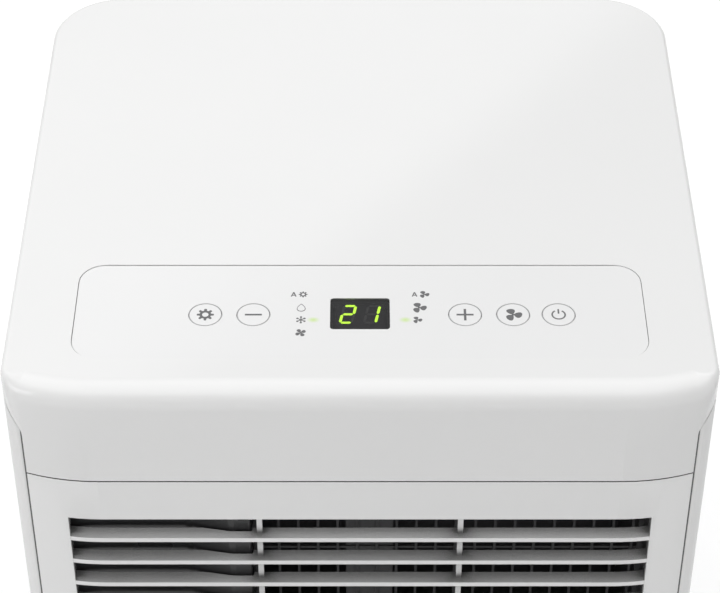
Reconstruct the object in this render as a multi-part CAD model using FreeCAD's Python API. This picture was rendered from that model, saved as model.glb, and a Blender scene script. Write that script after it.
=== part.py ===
"""Portable air conditioner on four casters, as an assembly of separate pieces.

A tall white cabinet stands on a base tray. One cover makes the top and a short apron below it, and
carries the touch panel. Under the apron a front panel holds the louvred air outlet. Two side panels
wrap round to the rear panel, which holds two pull-off air intakes, the round hot-air outlet and a drain.
Inside, a deck divides the cabinet: the evaporator with its blower above, and the compressor, the
condenser and its blower below.

Frame: millimetres, +Z up, front face at -Y, +X to the right seen from the front.
The origin is on the floor under the middle of the cabinet.
"""
import FreeCAD, Part
import math
import os
from FreeCAD import Rotation, Vector

# ---------------------------------------------------------------- cabinet
BODY_WIDTH = 355.0
BODY_DEPTH = 338.0
BODY_HEIGHT = 703.0
SKIRT_BOTTOM = 23.0        # underside of the base skirt above the floor
BASE_TOP = 92.0            # seam between the base tray and the panels
WALL = 2.5
SEAM = 0.8                 # gap between neighbouring panels
FRONT_BOW_RADIUS = 110.0   # the front face curves back near its ends
FRONT_BOW_TURN = 19.0      # degrees, then the tighter corner starts
FRONT_CORNER_RADIUS = 14.0
REAR_CORNER_RADIUS = 39.0
FRONT_EDGE_RADIUS = 12.0   # between the top and the apron
TOP_EDGE_RADIUS = 2.5      # round the sides and back of the top
TOP_EDGE_INSIDE = 1.0      # the same edge seen from inside
APRON_DEPTH = 61.1         # from the top down to the seam with the front panel
COVER_LIP = 12.0           # the cover's rim on the sides and back
SEAM_SETBACK = 6.6         # vertical seam of the side panel behind the front face
SEAM_CORNER_RADIUS = 22.0
REAR_SEAM_X = 138.0
TONGUE = 2.0               # thickness of the lips that hold the panels from inside
TONGUE_REACH = 6.0         # how far the lips overlap the panels

HALF_WIDTH = BODY_WIDTH / 2
FRONT_Y = -BODY_DEPTH / 2
REAR_Y = BODY_DEPTH / 2
INNER_X = HALF_WIDTH - WALL
INNER_REAR_Y = REAR_Y - WALL
FRONT_SEAM_Y = FRONT_Y + SEAM_SETBACK
FRONT_SEAM_Z = BODY_HEIGHT - APRON_DEPTH
COVER_SEAM_Z = BODY_HEIGHT - COVER_LIP
BOW_TURN = math.radians(FRONT_BOW_TURN)
BOW_START_X = HALF_WIDTH - FRONT_CORNER_RADIUS - (FRONT_BOW_RADIUS - FRONT_CORNER_RADIUS) * math.sin(BOW_TURN)
CORNER_Y = FRONT_Y + FRONT_BOW_RADIUS - (FRONT_BOW_RADIUS - FRONT_CORNER_RADIUS) * math.cos(BOW_TURN)

# ---------------------------------------------------------------- base tray and casters
FLOOR_UNDER = 50.0
FLOOR_THICKNESS = 3.5
BASE_WALL = 3.0
BASE_FOOT_RADIUS = 3.0
FLOOR_TOP = FLOOR_UNDER + FLOOR_THICKNESS

CASTER_INSET_X = 43.0
CASTER_INSET_Y = 46.0
WHEEL_RADIUS = 21.0
WHEEL_WIDTH = 9.5
WHEEL_TREAD_ROUND = 2.0
FORK_WEB = 7.0
FORK_TRAIL = 14.0
WHEEL_SIDE_GAP = 0.6
STEM_RADIUS = 4.0
STEM_LENGTH = 14.0
STEM_CLEARANCE = 0.06
AXLE_RADIUS = 2.5
FORK_TOP_GAP = 1.0
FORK_DISC_RADIUS = 16.0
FORK_DISC_THICKNESS = 3.0
HOOD_GAP = 1.5
HOOD_WALL = 1.8
SOCKET_WALL = 6.0
CASTER_PLACES = {
    "front_left": (-HALF_WIDTH + CASTER_INSET_X, FRONT_Y + CASTER_INSET_Y),
    "front_right": (HALF_WIDTH - CASTER_INSET_X, FRONT_Y + CASTER_INSET_Y),
    "rear_left": (-HALF_WIDTH + CASTER_INSET_X, REAR_Y - CASTER_INSET_Y),
    "rear_right": (HALF_WIDTH - CASTER_INSET_X, REAR_Y - CASTER_INSET_Y),
}

# ---------------------------------------------------------------- air outlet in the front panel
WINDOW_HALF_WIDTH = HALF_WIDTH - 28.0
WINDOW_DROP = 88.9         # from the top down to the window's upper edge
SLOT_COUNT = 10
SLAT_PITCH = 17.1
SLAT_THICKNESS = 2.9
SLAT_DEPTH = 7.5
DIVIDER_X = 51.8
DIVIDER_WIDTH = 2.9
DIVIDER_SETBACK = 3.5
GRILLE_RIM = 6.0
WINDOW_TOP = BODY_HEIGHT - WINDOW_DROP
WINDOW_BOTTOM = WINDOW_TOP - SLOT_COUNT * SLAT_PITCH + SLAT_THICKNESS

BAFFLE_THICKNESS = 2.0
BAFFLE_DEEP = 9.6          # behind the front face, in the far left of the outlet
BAFFLE_NEAR = 5.7          # behind the front face, beside the first divider
BAFFLE_END_X = -DIVIDER_X - 4.6
BAFFLE_GAP = 0.8
BAFFLE_END_GAP = 0.4
BAFFLE_BEND_RADIUS = 20.0
BAFFLE_SLOPE = 22.0        # length across X of the curved stretch
BAFFLE_FLAT = 10.3         # length across X of the near stretch

GRID_SETBACK = 23.5        # guard grid behind the front face
GRID_DEPTH = 3.0
GRID_BAR = 1.4
GRID_PITCH = 10.4
GRID_CROSS_PITCH = 51.3
GRID_RIM = 3.0
DUCT_WALL = 2.0
PLENUM_DEPTH = 84.0
PLENUM_RIGHT_MARGIN = 25.5
THROAT_TOP_DROP = 2.5      # the throat's roof under the plenum's
THROAT_HEIGHT = 42.0
THROAT_WIDTH = 84.0
MOTOR_THROAT_GAP = 3.3     # from the throat down to the fan motor
GRID_POST_WIDTH = 25.0
GRID_POST_X = 5.0

# ---------------------------------------------------------------- control panel in the top
OVERLAY_HALF_WIDTH = 144.0
OVERLAY_FRONT_SETBACK = 26.1
OVERLAY_DEPTH = 69.9
OVERLAY_CORNER = 13.0
OVERLAY_THICKNESS = 1.0
OVERLAY_SINK = 0.4
OVERLAY_GAP = 0.35
PANEL_BED = 6.0            # thickness of the cover under the panel
PANEL_BED_MARGIN = 8.0
KEY_RADIUS = 8.35
KEY_GAP = 0.25
KEY_BORE_CLEARANCE = 0.6
KEY_FLANGE = 1.8
KEY_FLANGE_THICKNESS = 1.2
KEY_REST_GAP = 0.3
KEY_STEM_RADIUS = 3.0
KEY_ROW_SETBACK = 58.4     # from the front face back to the row of keys
KEY_X = {"mode": -78.2, "minus": -53.9, "plus": 53.1, "fan": 77.4, "power": 100.4}
DISPLAY_WIDTH = 29.9
DISPLAY_HEIGHT = 23.1
DISPLAY_CORNER = 1.6
DISPLAY_ROW_SETBACK = 59.2
LENS_THICKNESS = 2.0
LENS_SINK = 0.1
LENS_GAP = 0.15
LENS_LEDGE = 1.2
MODULE_WIDTH = 25.0
MODULE_HEIGHT = 19.0
MODULE_GAP = 0.6           # between the digits and the lens
BOARD_DROP = 20.0          # from the top down to the control board
BOARD_THICKNESS = 1.6
BOARD_HALF_WIDTH = 120.0
BOARD_DEPTH = 46.0
BOARD_FRONT_SETBACK = 36.0
BOARD_BOSS_RADIUS = 3.0
SWITCH_SIDE = 6.0
SWITCH_HEIGHT = 3.5
SWITCH_BUTTON_RADIUS = 1.75
SWITCH_BUTTON_TOP = 7.0
SWITCH_GAP = 0.6
GUIDE_X = 23.4
GUIDE_FIRST_SETBACK = 73.7
GUIDE_PITCH = 9.65
GUIDE_WIDTH = 4.0
GUIDE_HEIGHT = 2.0
GUIDE_GAP = 0.2

OVERLAY_FRONT_Y = FRONT_Y + OVERLAY_FRONT_SETBACK
OVERLAY_REAR_Y = OVERLAY_FRONT_Y + OVERLAY_DEPTH
OVERLAY_TOP = BODY_HEIGHT - OVERLAY_SINK
OVERLAY_UNDER = OVERLAY_TOP - OVERLAY_THICKNESS
BED_UNDER = BODY_HEIGHT - PANEL_BED
LENS_UNDER = OVERLAY_TOP - LENS_SINK - LENS_THICKNESS
KEY_ROW_Y = FRONT_Y + KEY_ROW_SETBACK
DISPLAY_Y = FRONT_Y + DISPLAY_ROW_SETBACK
BOARD_TOP = BODY_HEIGHT - BOARD_DROP
BOARD_FRONT_Y = FRONT_Y + BOARD_FRONT_SETBACK
GUIDE_PLACES = [(-GUIDE_X, row) for row in range(4)] + [(GUIDE_X, row) for row in range(3)]

# ---------------------------------------------------------------- rear panel
INTAKE_GAP = 0.7
INTAKE_DEPTH = 8.0
INTAKE_RIM = 9.0
INTAKE_SLAT_PITCH = 9.5
INTAKE_SLAT_THICKNESS = 2.2
INTAKE_RIB_PITCH = 52.0
INTAKE_RIB_WIDTH = 3.0
INTAKE_CORNER = 5.0
FILTER_THICKNESS = 2.6
FILTER_BAR = 1.2
FILTER_PITCH = 22.0
FILTER_RIM = 6.0
SLEEVE_WALL = 2.0
SLEEVE_LEDGE = 4.0
UPPER_INTAKE_HALF_WIDTH = 118.0
LOWER_INTAKE_HALF_WIDTH = 105.0
INTAKE_MARGIN = 16.0

EXHAUST_RADIUS = 75.0
EXHAUST_TUBE_WALL = 3.0
EXHAUST_FLANGE = 8.4
EXHAUST_BACK_FLANGE = 5.0  # how far the inner flange stands out past the outer one
EXHAUST_FLANGE_THICKNESS = 3.0
EXHAUST_LENGTH = 34.5
EXHAUST_GAP = 0.5

DRAIN_POCKET_RADIUS = 14.0
DRAIN_POCKET_DEPTH = 15.0
DRAIN_BORE_RADIUS = 5.0
DRAIN_SPOUT_RADIUS = 7.0
DRAIN_SPOUT_OUT = 8.0      # length of the spout inside its pocket
DRAIN_CAP_RADIUS = 10.5
DRAIN_CAP_CLEARANCE = 0.08
DRAIN_CAP_FLUTES = 12
LOWER_DRAIN_X = -100.0
LOWER_DRAIN_RISE = 17.0    # above the base tray's floor

GLAND_X = 121.0
GLAND_RISE = 34.0          # above the base seam
GLAND_RADIUS = 8.0
GLAND_BORE_RADIUS = 3.6
GLAND_FLANGE = 2.5

SCREW_HEAD_RADIUS = 3.6
SCREW_HEAD_THICKNESS = 2.0
SCREW_SHANK_RADIUS = 1.9
SCREW_LENGTH = 12.0
SCREW_BOSS_RADIUS = 6.0
SCREW_SINK = 0.4
SCREW_CLEARANCE = 0.05
SCREW_INSET = 7.5          # from the rear seam

# ---------------------------------------------------------------- handles in the side panels
HANDLE_LENGTH = 110.0
HANDLE_HEIGHT = 38.0
HANDLE_DEPTH = 22.0
HANDLE_CORNER = 15.0
HANDLE_DROP = 122.0        # from the top down to the middle of the grip
HANDLE_Y = 25.0

# ---------------------------------------------------------------- inside
COIL_DEPTH = 44.0
COIL_REAR_GAP = 24.5       # from the rear face's inner side to the coils
COIL_SIDE_MARGIN = 47.0
COIL_FIN = 0.8
COIL_FIN_COUNT = 30
COIL_PLATE = 1.6
COIL_TUBE_RADIUS = 3.5
COIL_TUBE_PITCH = 25.4
COIL_STUB = 3.0            # how far the tubes stand out of the end plates
COIL_BEND = 4.0
CONDENSER_HEIGHT = 176.0
CONDENSER_RISE = 14.0      # above the base tray's floor
EXHAUST_ZONE_GAP = 14.0
DECK_THICKNESS = 3.0
DECK_SETBACK = 14.0        # from the front face
DECK_REAR_GAP = 22.5
DECK_DUCT_GAP = 1.5        # round the air outlet, where that reaches down to the deck
TRAY_PIPE_GAP = 1.2        # from the tray's wall up to the suction pipe
TRAY_WALL = 2.0
TRAY_RIB = 4.0
COIL_TOP_GAP = 40.0

FAN_WALL = 2.0
FAN_SIDE_GAP = 3.0
FAN_RIM_GAP = 9.0
FAN_GROWTH = 6.0           # each quarter turn of the housing is this much wider
FAN_DEPTH = 62.0
FAN_COIL_GAP = 8.0
FAN_BLADES = 32
BLADE_THICKNESS = 1.2
BLADE_SPAN = 13.0
HUB_RADIUS = 11.0
HUB_LENGTH = 24.0
SHAFT_RADIUS = 4.0
SHAFT_INTO_MOTOR = 30.0
EVAP_FAN_LARGEST = 85.0
EVAP_FAN_X = 20.0
EVAP_FAN_CLEAR = 20.0       # from the wheel down to the deck
EVAP_FAN_HEADROOM = 36.0   # under the cover's seam
COND_FAN_RADIUS = 78.0
COND_FAN_X = -20.0
COND_FAN_RISE = 102.0      # above the base tray's floor
MOTOR_RADIUS = 38.0
MOTOR_LENGTH = 56.0
MOTOR_EDGE = 8.0

COMPRESSOR_RADIUS = 50.0
COMPRESSOR_HEIGHT = 176.0
COMPRESSOR_DOME = 22.0
COMPRESSOR_SIDE_GAP = 38.0
COMPRESSOR_FRONT_GAP = 40.0
COMPRESSOR_PLATE = 4.0
COMPRESSOR_FOOT_REACH = 68.0
RUBBER_FOOT_HEIGHT = 15.0
RUBBER_FOOT_RADIUS = 11.0
ACCUMULATOR_RADIUS = 24.0
ACCUMULATOR_HEIGHT = 120.0
ACCUMULATOR_GAP = 8.0
PIPE_RADIUS = 4.0
SUCTION_RADIUS = 5.5
PIPE_BEND = 12.0
PIPE_OUT = 14.0            # from the coils' bends to the vertical pipes
DECK_HOLE_GAP = 1.5

BOX_LENGTH = 105.0         # electrical box behind the baffle
BOX_WIDTH = 84.0
BOX_HEIGHT = 140.0
BOX_WALL = 2.0
BOX_FRONT_SETBACK = 30.0
MAIN_BOARD_THICKNESS = 1.6
CAPACITOR_RADIUS = 20.0
CAPACITOR_HEIGHT = 75.0

SLINGER_RADIUS = 21.0
SLINGER_X = 106.0
SLINGER_WIDTH = 5.0
SLINGER_GAP = 4.0
SLINGER_PADDLES = 12
SLINGER_SHAFT = 2.5
SLINGER_MOTOR_RADIUS = 15.0
SLINGER_MOTOR_LENGTH = 34.0


# ================================================================ helpers
def block(x0, x1, y0, y1, z0, z1):
    return Part.makeBox(x1 - x0, y1 - y0, z1 - z0, Vector(x0, y0, z0))


def rod(start, direction, radius, length):
    """A cylinder from a start point along a direction."""
    return Part.makeCylinder(radius, length, Vector(*start), Vector(*direction))


def tube(start, direction, outer, inner, length):
    return rod(start, direction, outer, length).cut(rod(start, direction, inner, length))


def rounded_path(points, radius, closed=False):
    """Straight runs through the points, joined by tangent arcs of one radius (or one radius for each point)."""
    places = [Vector(*p) for p in points]
    count = len(places)
    radii = [radius] * count if isinstance(radius, (int, float)) else list(radius)
    corners = range(count) if closed else range(1, count - 1)
    entry = {}
    leave = {}
    arcs = {}
    for i in corners:
        here = places[i]
        back = (places[i - 1] - here).normalize()
        ahead = (places[(i + 1) % count] - here).normalize()
        half = math.acos(max(-1.0, min(1.0, back.dot(ahead)))) / 2
        reach = radii[i] / math.tan(half)
        middle = (back + ahead).normalize()
        entry[i] = here + back * reach
        leave[i] = here + ahead * reach
        inner = here + middle * (radii[i] / math.sin(half) - radii[i])
        arcs[i] = Part.Arc(entry[i], inner, leave[i]).toShape()
    edges = []
    for i in range(count if closed else count - 1):
        following = (i + 1) % count
        start = leave.get(i, places[i])
        end = entry.get(following, places[following])
        if (end - start).Length > 1e-6:
            edges.append(Part.makeLine(start, end))
        if following in arcs:
            edges.append(arcs[following])
    return Part.Wire(edges)


def rounded_plate(x0, x1, z0, z1, corner, y0, y1):
    """A plate with rounded corners that faces along Y."""
    outline = rounded_path([(x0, y0, z0), (x1, y0, z0), (x1, y0, z1), (x0, y0, z1)], corner, closed=True)
    return Part.Face(outline).extrude(Vector(0, y1 - y0, 0))


def rounded_slab(x0, x1, y0, y1, corner, z0, z1):
    """A plate with rounded corners that faces up."""
    outline = rounded_path([(x0, y0, z0), (x1, y0, z0), (x1, y1, z0), (x0, y1, z0)], corner, closed=True)
    return Part.Face(outline).extrude(Vector(0, 0, z1 - z0))


def pipe(points, radius, bend):
    """A round tube along straight runs joined by tangent arcs."""
    path = rounded_path(points, bend)
    start = Vector(*points[0])
    direction = (Vector(*points[1]) - start).normalize()
    profile = Part.Wire(Part.makeCircle(radius, start, direction))
    return path.makePipeShell([profile], True, False)


def joined(shapes):
    whole = shapes[0]
    if len(shapes) > 1:
        whole = whole.multiFuse(shapes[1:])
    return whole.removeSplitter()


def mirrored(shape):
    return shape.mirror(Vector(0, 0, 0), Vector(1, 0, 0))


def edge_round(shape, radius, wanted):
    """Rounds the edges that the test picks out."""
    return shape.makeFillet(radius, [edge for edge in shape.Edges if wanted(edge)])


def save(name, shape):
    solids = shape.Solids
    if not solids or not all(s.isValid() and s.Volume > 0 for s in solids):
        raise ValueError(f"{name} has no valid solid")
    Part.makeCompound(solids).exportStep(os.path.join("parts", f"{name}.step"))
    box = shape.BoundBox
    size = f"{box.XLength:.1f} x {box.YLength:.1f} x {box.ZLength:.1f}"
    print(f"{name}: {len(solids)} solid(s), {size}, {sum(s.Volume for s in solids) / 1000:.1f} cm3")


# ================================================================ cabinet shells
def plan_outline(inset, z):
    """The cabinet's outline seen from above: a bowed front, tight front corners and wide rear corners."""
    def arc(x, y, radius, start, end):
        points = []
        for angle in (start, (start + end) / 2, end):
            points.append(Vector(x + radius * math.cos(angle), y + radius * math.sin(angle), z))
        return Part.Arc(*points).toShape()

    front, rear, side = FRONT_Y + inset, REAR_Y - inset, HALF_WIDTH - inset
    bow_y = FRONT_Y + FRONT_BOW_RADIUS
    corner_x = HALF_WIDTH - FRONT_CORNER_RADIUS
    rear_x, rear_y = HALF_WIDTH - REAR_CORNER_RADIUS, REAR_Y - REAR_CORNER_RADIUS
    bow, corner, back = FRONT_BOW_RADIUS - inset, FRONT_CORNER_RADIUS - inset, REAR_CORNER_RADIUS - inset
    quarter = math.pi / 2
    edges = [
        Part.makeLine(Vector(-BOW_START_X, front, z), Vector(BOW_START_X, front, z)),
        arc(BOW_START_X, bow_y, bow, -quarter, BOW_TURN - quarter),
        arc(corner_x, CORNER_Y, corner, BOW_TURN - quarter, 0),
        Part.makeLine(Vector(side, CORNER_Y, z), Vector(side, rear_y, z)),
        arc(rear_x, rear_y, back, 0, quarter),
        Part.makeLine(Vector(rear_x, rear, z), Vector(-rear_x, rear, z)),
        arc(-rear_x, rear_y, back, quarter, 2 * quarter),
        Part.makeLine(Vector(-side, rear_y, z), Vector(-side, CORNER_Y, z)),
        arc(-corner_x, CORNER_Y, corner, 2 * quarter, 3 * quarter - BOW_TURN),
        arc(-BOW_START_X, bow_y, bow, 3 * quarter - BOW_TURN, 3 * quarter),
    ]
    return Part.Wire(edges)


def prism(inset, bottom, top):
    return Part.Face(plan_outline(inset, bottom)).extrude(Vector(0, 0, top - bottom))


def ring(bottom, top):
    """A lip that lies against the inside of the panels."""
    return prism(WALL, bottom, top).cut(prism(WALL + TONGUE, bottom - 1, top + 1))


def rounded_body(document, inset, bottom, top, front_radius, side_radius):
    """The cabinet's solid, whose top edge is rounded more at the front than round the sides and back."""
    base = document.addObject("Part::Feature", "Prism")
    base.Shape = prism(inset, bottom, top)
    rounding = document.addObject("Part::Fillet", "TopEdge")
    rounding.Base = base

    def radius_at(vertex):
        return front_radius if vertex.Point.y < CORNER_Y - inset / 2 - 0.5 else side_radius

    edges = []
    for number, edge in enumerate(base.Shape.Edges, 1):
        if edge.BoundBox.ZMin > top - 1e-6:
            edges.append((number, radius_at(edge.Vertexes[0]), radius_at(edge.Vertexes[-1])))
    rounding.Edges = edges
    document.recompute()
    return rounding.Shape.Solids[0]


def cabinet_skin():
    document = FreeCAD.newDocument("cabinet")
    outer = rounded_body(document, 0, BASE_TOP, BODY_HEIGHT, FRONT_EDGE_RADIUS, TOP_EDGE_RADIUS)
    inner = rounded_body(document, WALL, BASE_TOP - 1, BODY_HEIGHT - WALL,
                         FRONT_EDGE_RADIUS - WALL, TOP_EDGE_INSIDE)
    return outer.cut(inner)


def seam_profile(offset):
    """Side view of where the cover ends: up the front seam, round a corner, and back along the rim."""
    far = BODY_DEPTH
    y = FRONT_SEAM_Y + offset
    z = COVER_SEAM_Z - offset
    return rounded_path([(0, y, -far), (0, y, z), (0, far, z)], SEAM_CORNER_RADIUS - offset)


def side_zone(offset):
    """Everything behind the front seam and under the cover's rim, across the whole width."""
    curve = seam_profile(offset)
    far = BODY_DEPTH
    closing = Part.makePolygon([curve.Vertexes[-1].Point, Vector(0, far, -far), curve.Vertexes[0].Point])
    face = Part.Face(Part.Wire(curve.Edges + closing.Edges))
    return face.extrude(Vector(BODY_WIDTH * 2, 0, 0)).translate(Vector(-BODY_WIDTH, 0, 0))


def top_cover(skin):
    front_zone = block(-BODY_WIDTH, BODY_WIDTH, -BODY_DEPTH, FRONT_SEAM_Y - SEAM / 2,
                       BASE_TOP - 10, FRONT_SEAM_Z + SEAM / 2)
    strip = block(-BODY_WIDTH, BODY_WIDTH, FRONT_SEAM_Y - SEAM, REAR_Y + 1, BASE_TOP - 10,
                  FRONT_SEAM_Z + SEAM / 2)
    cover = skin.cut(front_zone).cut(side_zone(-SEAM / 2)).cut(strip)
    bed = rounded_slab(-OVERLAY_HALF_WIDTH - PANEL_BED_MARGIN, OVERLAY_HALF_WIDTH + PANEL_BED_MARGIN,
                       OVERLAY_FRONT_Y - PANEL_BED_MARGIN, OVERLAY_REAR_Y + PANEL_BED_MARGIN,
                       OVERLAY_CORNER, BED_UNDER, BODY_HEIGHT - WALL)
    bosses = []
    for x in (-BOARD_HALF_WIDTH + 6, BOARD_HALF_WIDTH - 6):
        for y in (BOARD_FRONT_Y + 5, BOARD_FRONT_Y + BOARD_DEPTH - 5):
            bosses.append(rod((x, y, BOARD_TOP), (0, 0, 1), BOARD_BOSS_RADIUS, BED_UNDER - BOARD_TOP))
    behind = FRONT_SEAM_Y + SEAM_CORNER_RADIUS + TONGUE_REACH
    tongue = ring(COVER_SEAM_Z - TONGUE_REACH, BODY_HEIGHT - TOP_EDGE_RADIUS)
    tongue = tongue.common(block(-BODY_WIDTH, BODY_WIDTH, behind, BODY_DEPTH, 0, BODY_HEIGHT))
    cover = joined([cover, bed, tongue] + bosses)
    recess = rounded_slab(-OVERLAY_HALF_WIDTH - OVERLAY_GAP, OVERLAY_HALF_WIDTH + OVERLAY_GAP,
                          OVERLAY_FRONT_Y - OVERLAY_GAP, OVERLAY_REAR_Y + OVERLAY_GAP,
                          OVERLAY_CORNER + OVERLAY_GAP, OVERLAY_UNDER, BODY_HEIGHT + 1)
    holes = [recess, display_shape(LENS_GAP, LENS_UNDER, OVERLAY_UNDER + 1),
             display_shape(-LENS_LEDGE, BED_UNDER - 1, LENS_UNDER + 1)]
    for x in KEY_X.values():
        holes.append(rod((x, KEY_ROW_Y, BED_UNDER - 1), (0, 0, 1), KEY_RADIUS + KEY_BORE_CLEARANCE, PANEL_BED))
    for x, row in GUIDE_PLACES:
        holes.append(guide_shape(x, row, GUIDE_GAP, BED_UNDER - 1, OVERLAY_UNDER + 1))
    return cover.cut(Part.makeCompound(holes))


def side_panel(skin):
    """The right side panel. The left one is its mirror image."""
    reach = block(REAR_SEAM_X + SEAM / 2, BODY_WIDTH, -BODY_DEPTH, BODY_DEPTH,
                  BASE_TOP + SEAM / 2, BODY_HEIGHT)
    panel = skin.common(side_zone(SEAM / 2)).common(reach)
    middle = BODY_HEIGHT - HANDLE_DROP
    cup = handle_shape(middle, INNER_X - HANDLE_DEPTH, HALF_WIDTH - WALL / 2, 0)
    hollow = handle_shape(middle, INNER_X - HANDLE_DEPTH + WALL, HALF_WIDTH + 1, WALL)
    return panel.fuse(cup).cut(hollow).removeSplitter()


def handle_shape(middle, x0, x1, inset):
    half_length, half_height = HANDLE_LENGTH / 2 - inset, HANDLE_HEIGHT / 2 - inset
    corners = []
    for y, z in ((-1, -1), (1, -1), (1, 1), (-1, 1)):
        corners.append((x0, HANDLE_Y + y * half_length, middle + z * half_height))
    outline = rounded_path(corners, HANDLE_CORNER - inset, closed=True)
    return Part.Face(outline).extrude(Vector(x1 - x0, 0, 0))


def front_panel(skin):
    zone = block(-BODY_WIDTH, BODY_WIDTH, -BODY_DEPTH, FRONT_SEAM_Y - SEAM / 2,
                 BASE_TOP + SEAM / 2, FRONT_SEAM_Z - SEAM / 2)
    window = block(-WINDOW_HALF_WIDTH, WINDOW_HALF_WIDTH, -BODY_DEPTH, FRONT_SEAM_Y,
                   WINDOW_BOTTOM, WINDOW_TOP)
    return skin.common(zone).cut(window)


# ================================================================ air outlet
def plan_strip(inset, depth, half_width, bottom, top):
    """A band that follows the front face, from inset behind it to depth behind it."""
    band = prism(inset, bottom, top).cut(prism(0, bottom - 1, top + 1).translate(Vector(0, depth, 0)))
    return band.common(block(-half_width, half_width, FRONT_Y - 1, 0, bottom, top))


def baffle_path(offset):
    """Plan view of the baffle's front face, moved forward by offset."""
    deep, near = FRONT_Y + BAFFLE_DEEP - offset, FRONT_Y + BAFFLE_NEAR - offset
    flat_x = BAFFLE_END_X - BAFFLE_FLAT
    end_x = BAFFLE_END_X + offset
    back = FRONT_Y + GRID_SETBACK
    return [(-WINDOW_HALF_WIDTH - GRILLE_RIM, deep, 0), (flat_x - BAFFLE_SLOPE, deep, 0),
            (flat_x, near, 0), (end_x, near, 0), (end_x, back, 0)]


def outlet_grille():
    """Slats level with the front face, two dividers set back behind them, and a rim behind the panel."""
    relief = [Vector(*p) for p in baffle_path(BAFFLE_GAP)]
    curve = rounded_path(relief, [0, BAFFLE_BEND_RADIUS, BAFFLE_BEND_RADIUS, 1.0, 0])
    closing = Part.makePolygon([relief[-1], Vector(relief[0].x, relief[-1].y, 0), relief[0]])
    outline = Part.Face(Part.Wire(curve.Edges + closing.Edges))
    slat = plan_strip(0, SLAT_DEPTH, WINDOW_HALF_WIDTH, 0, SLAT_THICKNESS)
    slat = slat.cut(outline.extrude(Vector(0, 0, SLAT_THICKNESS)))
    low, high = WINDOW_BOTTOM - GRILLE_RIM, WINDOW_TOP + GRILLE_RIM
    pieces = []
    for number in range(1, SLOT_COUNT):
        pieces.append(slat.translated(Vector(0, 0, WINDOW_TOP - number * SLAT_PITCH)))
    divider = plan_strip(DIVIDER_SETBACK, SLAT_DEPTH, WINDOW_HALF_WIDTH, low, high)
    half = DIVIDER_WIDTH / 2
    for x in (-DIVIDER_X, DIVIDER_X):
        pieces.append(divider.common(block(x - half, x + half, FRONT_Y, 0, low, high)))
    rim = plan_strip(WALL, SLAT_DEPTH, WINDOW_HALF_WIDTH + GRILLE_RIM, low, high)
    rim = rim.cut(block(-WINDOW_HALF_WIDTH, WINDOW_HALF_WIDTH, FRONT_Y, 0, WINDOW_BOTTOM, WINDOW_TOP))
    rim = rim.cut(outline.extrude(Vector(0, 0, WINDOW_TOP - WINDOW_BOTTOM)).translate(Vector(0, 0, WINDOW_BOTTOM)))
    return joined([rim] + pieces)


def outlet_baffle():
    """A dark sheet close behind the left bay, which curves towards the slats beside the divider."""
    radii = [0, BAFFLE_BEND_RADIUS, BAFFLE_BEND_RADIUS, 1.5, 0]
    front = rounded_path(baffle_path(0), radii)
    inner = [(p[0] - (BAFFLE_THICKNESS if i > 2 else 0), p[1] + (BAFFLE_THICKNESS if i < 4 else 0), 0)
             for i, p in enumerate(baffle_path(0))]
    rear = rounded_path(inner, [0, BAFFLE_BEND_RADIUS, BAFFLE_BEND_RADIUS, 0.5, 0])
    ends = [Part.makeLine(front.Vertexes[-1].Point, rear.Vertexes[-1].Point),
            Part.makeLine(rear.Vertexes[0].Point, front.Vertexes[0].Point)]
    outline = Part.Wire(Part.__sortEdges__(front.Edges + rear.Edges + ends))
    sheet = Part.Face(outline).extrude(Vector(0, 0, WINDOW_TOP - WINDOW_BOTTOM - 2 * BAFFLE_END_GAP))
    return sheet.translate(Vector(0, 0, WINDOW_BOTTOM + BAFFLE_END_GAP))


GRID_Y = FRONT_Y + GRID_SETBACK
PLENUM_LEFT = BAFFLE_END_X
PLENUM_RIGHT = HALF_WIDTH - PLENUM_RIGHT_MARGIN - DUCT_WALL
PLENUM_BOTTOM = WINDOW_BOTTOM - GRILLE_RIM + DUCT_WALL
PLENUM_TOP = WINDOW_TOP + GRILLE_RIM - DUCT_WALL
PLENUM_REAR_Y = GRID_Y + GRID_DEPTH + PLENUM_DEPTH
THROAT_TOP = PLENUM_TOP - THROAT_TOP_DROP


def guard_grid():
    bars = []
    y0, y1 = GRID_Y, GRID_Y + GRID_DEPTH
    frame = block(PLENUM_LEFT, PLENUM_RIGHT, y0, y1, PLENUM_BOTTOM, PLENUM_TOP)
    frame = frame.cut(block(PLENUM_LEFT + GRID_RIM, PLENUM_RIGHT - GRID_RIM, y0 - 1, y1 + 1,
                            PLENUM_BOTTOM + GRID_RIM, PLENUM_TOP - GRID_RIM))
    bars.append(frame)
    bars.append(block(GRID_POST_X - GRID_POST_WIDTH / 2, GRID_POST_X + GRID_POST_WIDTH / 2, y0 + GRID_BAR, y1,
                      PLENUM_BOTTOM + 1, PLENUM_TOP - 1))
    x = PLENUM_LEFT + GRID_RIM + GRID_PITCH
    while x < PLENUM_RIGHT - GRID_RIM - GRID_BAR:
        bars.append(block(x - GRID_BAR / 2, x + GRID_BAR / 2, y0, y0 + GRID_BAR,
                          PLENUM_BOTTOM + 1, PLENUM_TOP - 1))
        x += GRID_PITCH
    z = PLENUM_TOP - GRID_CROSS_PITCH
    while z > PLENUM_BOTTOM + GRID_RIM:
        bars.append(block(PLENUM_LEFT + 1, PLENUM_RIGHT - 1, y0 + GRID_BAR / 2, y0 + GRID_BAR * 3 / 2,
                          z - GRID_BAR / 2, z + GRID_BAR / 2))
        z -= GRID_CROSS_PITCH
    return joined(bars)


# ================================================================ control panel
def display_shape(gap, bottom, top):
    half_width, half_height = DISPLAY_WIDTH / 2 + gap, DISPLAY_HEIGHT / 2 + gap
    return rounded_slab(-half_width, half_width, DISPLAY_Y - half_height, DISPLAY_Y + half_height,
                        DISPLAY_CORNER + gap, bottom, top)


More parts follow.
